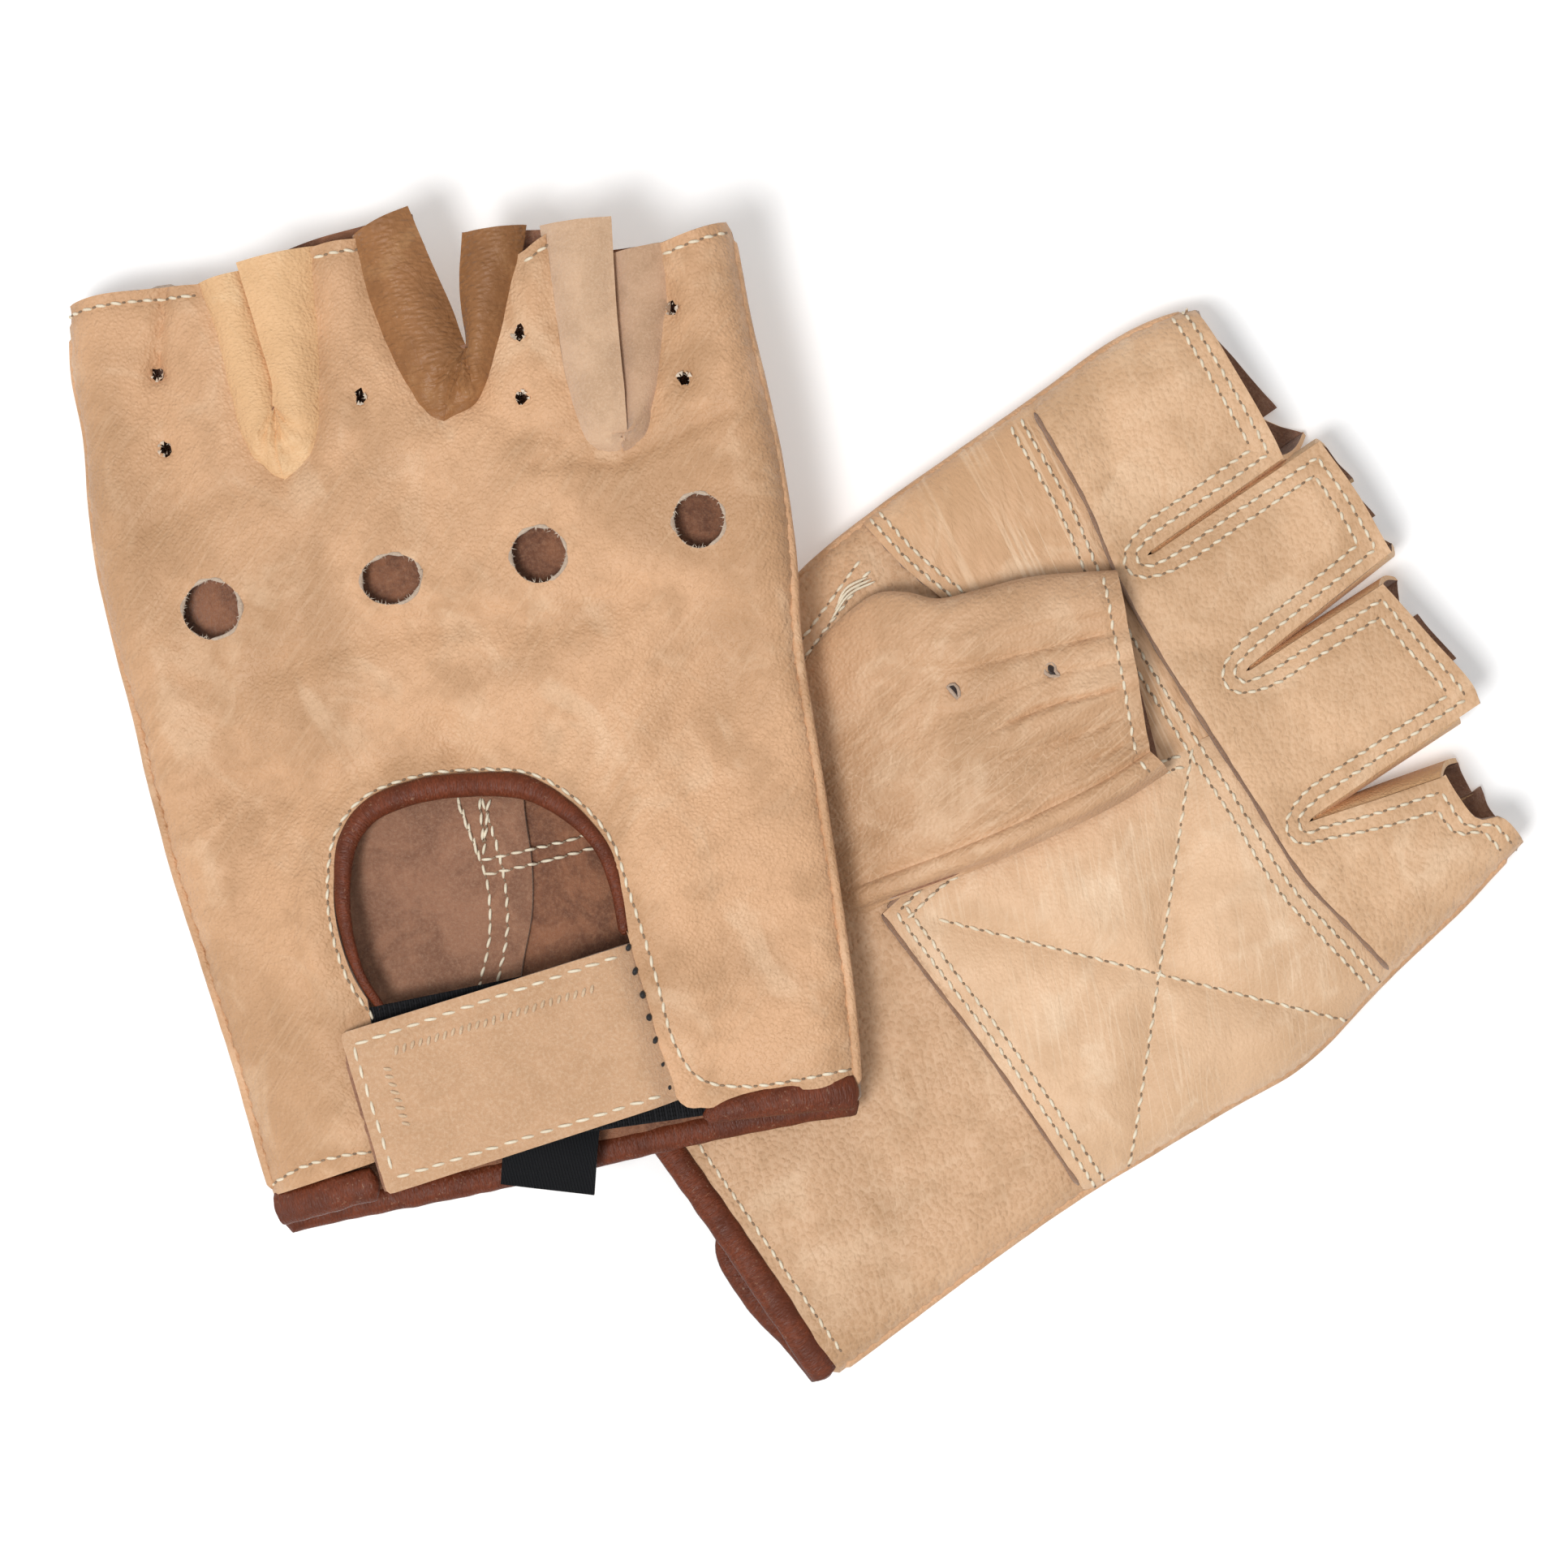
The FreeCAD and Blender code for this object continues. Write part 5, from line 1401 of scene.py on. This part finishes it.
# ---- Thumb -------------------------------------------------------------------------------------------------
def build_thumb(g):
    """The thumb stall folded over the palm: a soft flattened tube whose leather runs on into the palm."""
    down = np.array([0, -g.thumb_down])
    left = evenly(smooth(THUMB_LEFT, 0.6) + down, 0.5)
    band = evenly(smooth(THUMB_BAND, 0.6) + down, 0.5)
    right = evenly(smooth(THUMB_RIGHT, 0.6) + down, 0.5)

    def along(path, t):
        return np.array([np.interp(t, np.linspace(0, 1, len(path)), path[:, i]) for i in range(2)])

    def under(t):
        return -0.7 + (THUMB_GAP + 0.7) * step_up(t, 0, 0.3)

    def face(s, t):
        """A point on the thumb's outer face: s goes across to the rolled band, t along to the open end."""
        q = along(left, t) + (along(band, t) - along(left, t)) * s
        out = -0.5 + (THUMB_OUT + 0.5) * step_up(t, -0.08, 0.58)
        shape = math.sqrt(max(1 - (1 - min(s / 0.15, 1)) ** 2, 0))
        high = under(t) + (out - under(t)) * (0.3 + 0.7 * shape)
        high -= 1.5 * step_up(s, 0.95, 1.0) * step_up(t, 0.02, 0.3)
        high -= 0.9 * step_up(t, 0.93, 1.0) * (0.5 + 0.5 * math.sin(s * 9))
        ridge = 0.75 * math.sin(s * 13.5 + 1.5 * noise.noise((t * 2.2, s * 2, 3.0))) * step_up(s, 0.12, 0.35)
        ridge += 0.4 * math.sin(s * 31 + 3 * noise.noise((t * 3, s * 2, 7.0)) + t * 2)
        for at, deep in ((0.18, 0.5), (0.3, 0.8), (0.43, 0.6), (0.56, 1.2), (0.7, 0.7), (0.83, 0.6)):
            crease = at + 0.04 * noise.noise((t * 3.4, at * 9, 1.0)) + 0.05 * t
            reach = step_up(t, 0.98, 0.9) * step_up(t, 0.15 + 0.3 * (at * 7 % 1), 0.6)
            ridge -= deep * math.exp(-((s - crease) / 0.017) ** 2) * reach
        high += ridge * (0.45 + 0.55 * step_up(t, 0.2, 0.7)) * 0.8
        high += 0.3 * noise.noise((q[0] / 4, q[1] / 9, 1.5))
        high -= 0.28 * math.exp(-((t - 0.955) / 0.014) ** 2)
        for vu, vv in THUMB_VENTS:
            high -= 0.7 * math.exp(-(math.dist(q, (vu, vv - g.thumb_down)) / 1.3) ** 2)
        return (q[0], q[1], -high)

    rows = []
    for t in np.linspace(0, 1, THUMB_ROWS):
        row = [face(s, t) for s in np.linspace(0, 1, THUMB_COLUMNS)]
        edge, crest = along(band, t), -row[-1][2]
        b = along(right, t)
        drop = min(2.9, max(crest - under(t) - 0.2, 0.1))
        for s in np.linspace(0, 1, 13)[1:]:
            q = edge + (b - edge) * s
            roll = math.sin(math.pi * min(s, 0.999)) ** 0.6
            fall = drop * (0.35 * s + 0.65 * step_up(s, 0.7, 1.0))
            row.append((q[0], q[1], fall - crest - 1.5 * roll * step_up(t, -0.06, 0.16)))
        last = row[-1]
        for s in np.linspace(0, 1, 8)[1:]:
            free = step_up(t, 0.05, 0.35)
            bow = 0.9 * math.sin(math.pi * s) * free
            row.append((last[0] + bow + (0.7 - 1.9 * free) * s, last[1], last[2] + (-under(t) - last[2]) * s))
        rows.append(row)
    finishes = ["thumb", "suede_light", "raw_edge"]
    front = loft("thumb_outer_leather", g, rows, finishes, 0.8, local_shift=60.0, outward=-1)
    settle(front, g, "thumb", "tan_leather", "thumb_front")
    hem = [np.array([face(s, 0.955) for s in np.linspace(0.03, 0.97, 60)]) - [0, 0, 0.1]]
    hem.append(np.array([rows[THUMB_HEM_ROW][THUMB_COLUMNS + i] for i in range(8)]) - [0, 0, 0.12])
    thread = stitch_mesh("thumb_hem_stitching", g, hem, "thread", outward=-1, seed=21)
    settle(thread, g, "thumb", "thread")
    for vent_u, vent_v in THUMB_VENTS:
        at = (vent_u, vent_v - g.thumb_down)
        level = min(p[2] for row in rows for p in row[:THUMB_COLUMNS] if math.dist(p[:2], at) < 1.6)
        ring = np.array([(*p, level + 0.45) for p in round_hole(*at, 1.2, 0.75, 0.9, vent_u, 18)])
        ring = np.vstack([ring, ring[:2]])
        number = int(-vent_u)
        torn = sweep(f"thumb_vent_edge_{number}", g, ring, 0.55, 0.5, ["raw_edge"], 0.5, taper=False, sides=8)
        settle(torn, g, "thumb", "tan_leather")
        # A near-black bar along each vent's slit is painted shadow for the hole's inside.
        line = np.array([(at[0] + reach, at[1], level + 0.5) for reach in (-1.1, 1.1)])
        vent_painted_shadow = sweep(f"thumb_vent_hole_{number}", g, line, 1.0, 0.5, ["hole_shadow"], 0.3, sides=8)
        settle(vent_painted_shadow, g, "thumb", "tan_leather")
    rows = []
    for t in np.linspace(0.22, 0.985, 34):
        a, b = along(left, t), along(right, t)
        row = []
        for s in np.linspace(0, 1, 26):
            q = a + (b - a) * (0.03 + 0.945 * s)
            row.append((q[0], q[1], -under(t) - 0.25 * math.sin(math.pi * s) - 0.1))
        rows.append(row)
    back = loft("thumb_inner_leather", g, rows, finishes, 0.8, local_shift=90.0)
    settle(back, g, "thumb", "tan_leather", "thumb_back")


# ---- Wrist fastening ---------------------------------------------------------------------------------------
def corner_loop(points, radius, step=0.8):
    """A polygon with rounded corners."""
    out = []
    n = len(points)
    for i in range(n):
        p, a, b = (np.array(points[j % n], float) for j in (i, i - 1, i + 1))
        to_a, to_b = (a - p) / np.linalg.norm(a - p), (b - p) / np.linalg.norm(b - p)
        start, end = p + to_a * radius, p + to_b * radius
        t = np.linspace(0, 1, 5)[:, None]
        out.append((1 - t) ** 2 * start + 2 * t * (1 - t) * p + t ** 2 * end)
    rough = np.vstack([*out, out[0][:1]])
    return evenly(rough, step)[:-1]


def build_strap(g):
    """The strap: leather over a thin lining, stitched round, with rows of old stitch marks pressed in."""
    loop = corner_loop([STRAP_TOP, (20.4, 29.2), (22.4, 5.2), STRAP_FOOT], 0.9)
    ghost = [evenly(line, 1.0) for line in
             ([(-20.6, 19.4), (9.6, 23.0)], [(-22.6, 17.0), (-21.4, 8.6)])]
    stitched = [evenly(line, 1.0) for line in
                ([(-27.0, 21.3), (15.6, 27.4)], [(-27.0, 21.3), (-24.5, 0.9)], [(-24.5, 0.9), (17.0, 6.0)])]

    def surface(u, v):
        top = g.height(v) + 2.0 + 0.25 * ripple(u, v, 16, 2.0) + 0.06 * ripple(u, v, 2.6, 3.0)
        top = top - 3.4 * step_up(u + 0.1 * (v - 16), 13.8, 19.5) - 0.5 * bump(u + 30, 5)
        for line in stitched:
            top = top - 0.28 * bump(distance_to(u, v, line), 0.8)
        return top

    leather = sheet("strap_nubuck", g, [loop], surface, 1.0, 1,
                    ["strap", "suede_light", "raw_edge"], stitched, spacing=0.9)
    settle(leather, g, "strap", "strap_nubuck", "strap_leather")
    loop = corner_loop([(STRAP_TOP[0] - 0.7, STRAP_TOP[1] - 0.4), (19.6, 28.6), (21.6, 5.6),
                        (STRAP_FOOT[0] - 0.6, STRAP_FOOT[1] + 0.2)], 0.7)
    lining = sheet("strap_lining_suede", g, [loop], lambda u, v: surface(u, v) - 1.05, 0.4, 1,
                   ["suede_light", "suede"], spacing=1.6)
    settle(lining, g, "strap", "suede_lining", "strap_lining")
    hooks = corner_loop([(-21.5, 21), (11.5, 24.5), (12.5, 9), (-20.5, 5)], 1.0)
    tape = sheet("hook_tape_strip", g, [hooks], lambda u, v: surface(u, v) - 1.5, 0.45, 1,
                 ["elastic"], spacing=1.6)
    settle(tape, g, "strap", "hook_and_loop", "hook_tape")
    lines = [on(s, surface, 0.14) for s in stitched]
    thread = stitch_mesh("strap_stitching", g, lines, "thread", pitch=2.8, length=2.25, seed=8,
                         holes=False)
    settle(thread, g, "strap", "thread")
    marks = []
    for line in ghost:
        row = evenly(line, 1.25)
        lean = (row[-1] - row[0]) / np.linalg.norm(row[-1] - row[0])
        tick = np.array([lean[0] * 0.3 - lean[1] * 0.85, lean[1] * 0.3 + lean[0] * 0.85])
        marks += [on(np.array([p - tick, p + tick]), surface, 0.1) for p in row]
    pressed = stitch_mesh("strap_pressed_marks", g, marks, "strap_pale", pitch=3, length=1.65,
                          radius=0.26, seed=12, holes=False)
    settle(pressed, g, "strap", "strap_nubuck")
    flap = smooth(FLAP, 0.8)
    dots = beside(flap, 0.35)
    dots = dots[(dots[:, 1] < 29.5) & (dots[:, 1] > 4.4)]
    bars = stitch_mesh("bar_tacks", g, [on(dots, g.back_top, 0.12)], "dark_thread",
                       pitch=3.6, length=1.05, radius=0.42, seed=9, holes=False)
    settle(bars, g, "glove", "thread")


def build_elastic(g):
    """Ribbed woven elastic across the wrist opening, with real ribs."""
    loop = corner_loop([(-25, 26.2), (19.5, 27.2), (24.5, 1.6), (-25, 3.6)], 0.6, 0.8)

    def surface(u, v):
        return g.height(v) - 1.25 + 0.16 * np.sin(u * 2 * math.pi / 0.8) + 0.2 * ripple(u, v, 12, 5.0)

    band = sheet("elastic_webbing", g, [loop], surface, 0.7, 1, ["elastic"], spacing=0.36)
    settle(band, g, "glove", "elastic", "elastic_band")
    loop = corner_loop([(-21, 22), (12, 24), (13, 8), (-20, 6)], 1.0)
    tape = sheet("loop_tape_pile", g, [loop], lambda u, v: g.height(v) - 0.35, 0.55, 1,
                 ["elastic"], spacing=1.4)
    settle(tape, g, "glove", "hook_and_loop", "loop_tape")


def build_label(g):
    """A woven loop sewn under the elastic. It is left plain."""
    width, turn = 14.0, math.radians(-17.0)
    rows = []
    for t in np.linspace(0, 1, 30):
        row = []
        for s in np.linspace(0, 1, 22):
            x, y = (s - 0.5) * width, -19.0 * t
            u = 2.2 + x * math.cos(turn) - y * math.sin(turn)
            v = 13.0 + x * math.sin(turn) + y * math.cos(turn)
            w = 6.9 + 0.5 * math.sin(t * 2.6) - 2.2 * step_up(t, 0.55, 1.1) + 0.35 * math.sin(s * 3.6 + t)
            row.append((u, v, w))
        rows.append(row)
    tag = loft("woven_label_loop", g, rows, ["label"], 0.5)
    settle(tag, g, "glove", "woven_label", "label_tag")


def build_inside(g):
    """What shows through the window: the thenar panel's seam allowance and its two rows of stitches."""
    def under(u, v):
        return palm_surface(g, u, v) + LEATHER + 0.25

    edge = smooth([(4.4, 56), (3.5, 51), (2.9, 43), (1.6, 36), (-1.4, 28), (-5, 16), (-7, 4)], 1.0)
    rest = smooth([(-7, 4), (-36, 4)], 1.0)[1:]
    up = smooth([(-36, 5), (-40, 30), (-38, 52), (-30, 58), (-12, 60), (4.4, 56)], 1.0)[1:-1]

    def surface(u, v):
        return under(u, v) + 0.95 + 0.35 * ripple(u, v, 11, 6.0)

    flap = sheet("thenar_inside_suede", g, [np.vstack([edge, rest, up])], surface, 0.8, 1,
                 ["suede_light", "palm", "raw_edge"], [beside(edge, 6.5), beside(edge, 4.2)])
    settle(flap, g, "glove", "suede_lining")
    left = smooth([(-6.0, 55), (-4.6, 46), (-4.2, 40), (-5.8, 32), (-8.4, 26), (-12, 16)], 1.0)
    right = smooth([(-2.4, 54), (-1.6, 46), (-1.6, 40), (-2.8, 33), (-5.6, 26), (-9, 16)], 1.0)
    lines = [on(p, surface, 0.1) for p in (left, right)]
    for a, b in (((-6, 54), (-4.6, 45.6)), ((-2.6, 54), (-3.6, 45.8)), ((-1.2, 53.6), (-3.8, 45.4))):
        lines.append(on(evenly([a, b], 0.5), surface, 0.35))
    for v0, v1 in ((44.6, 45.8), (42.4, 43.8)):
        path = smooth([(-4.6, v0), (3.4, v0 + 0.3), (9, (v0 + v1) / 2), (16, v1)], 0.8)
        w = np.where(path[:, 0] < 3.4, surface(path[:, 0], path[:, 1]), under(path[:, 0], path[:, 1]))
        lines.append(np.column_stack([path, w + 0.15]))
    thread = stitch_mesh("inside_stitching", g, lines, "thread", pitch=2.2, length=1.85,
                         radius=0.24, seed=13)
    settle(thread, g, "glove", "thread")


# ---- Stage -------------------------------------------------------------------------------------------------
VIEW_WIDTH = 0.2357      # metres across the picture
VIEW_LEVEL = 0.010       # at this height above the floor
VIEW_CENTRE = (-0.00062, 0.0034)
WORLD_LIGHT = 0.46
SOFTBOXES = (("key_softbox", (-0.34, -0.36, 1.25), 0.38, 11.9), ("fill_softbox", (0.3, 0.2, 1.9), 1.2, 3))


def make_stage():
    mesh = bpy.data.meshes.new("studio_floor")
    work = bmesh.new()
    bmesh.ops.create_grid(work, x_segments=2, y_segments=2, size=3.0)
    work.to_mesh(mesh)
    work.free()
    mesh.materials.append(floor_material())
    floor = bpy.data.objects.new("studio_floor", mesh)
    floor.location = (0, 0, -FLOOR_GAP)
    bpy.context.collection.objects.link(floor)


def make_camera():
    """Straight above the pair."""
    camera = bpy.data.cameras.new("camera")
    camera.lens = 100
    camera.sensor_width = 36
    obj = bpy.data.objects.new("camera", camera)
    obj.location = (*VIEW_CENTRE, VIEW_WIDTH * camera.lens / camera.sensor_width + VIEW_LEVEL)
    bpy.context.collection.objects.link(obj)
    bpy.context.scene.camera = obj
    camera.clip_start = 0.01


def make_lights():
    world = bpy.data.worlds.new("studio")
    world.use_nodes = True
    background = world.node_tree.nodes["Background"]
    background.inputs["Color"].default_value = (1, 1, 1, 1)
    background.inputs["Strength"].default_value = WORLD_LIGHT
    bpy.context.scene.world = world
    bpy.context.scene.view_settings.view_transform = "Standard"
    for name, place_at, size, power in SOFTBOXES:
        light = bpy.data.lights.new(name, "AREA")
        light.size = size
        light.energy = power
        obj = bpy.data.objects.new(name, light)
        obj.location = place_at
        obj.rotation_euler = (-Vector(place_at)).to_track_quat("-Z", "Y").to_euler()
        bpy.context.collection.objects.link(obj)


# ---- Making it all -----------------------------------------------------------------------------------------
make_camera()
make_stage()
make_lights()
make_materials()
for side in ("left", "right"):
    glove = Glove(side)
    prepare(glove)
    build_palm(glove)
    build_back(glove)
    build_gussets(glove)
    build_bindings(glove)
    build_side_welts(glove)
    build_thumb(glove)
    build_inside(glove)
    build_elastic(glove)
    build_label(glove)
    build_strap(glove)
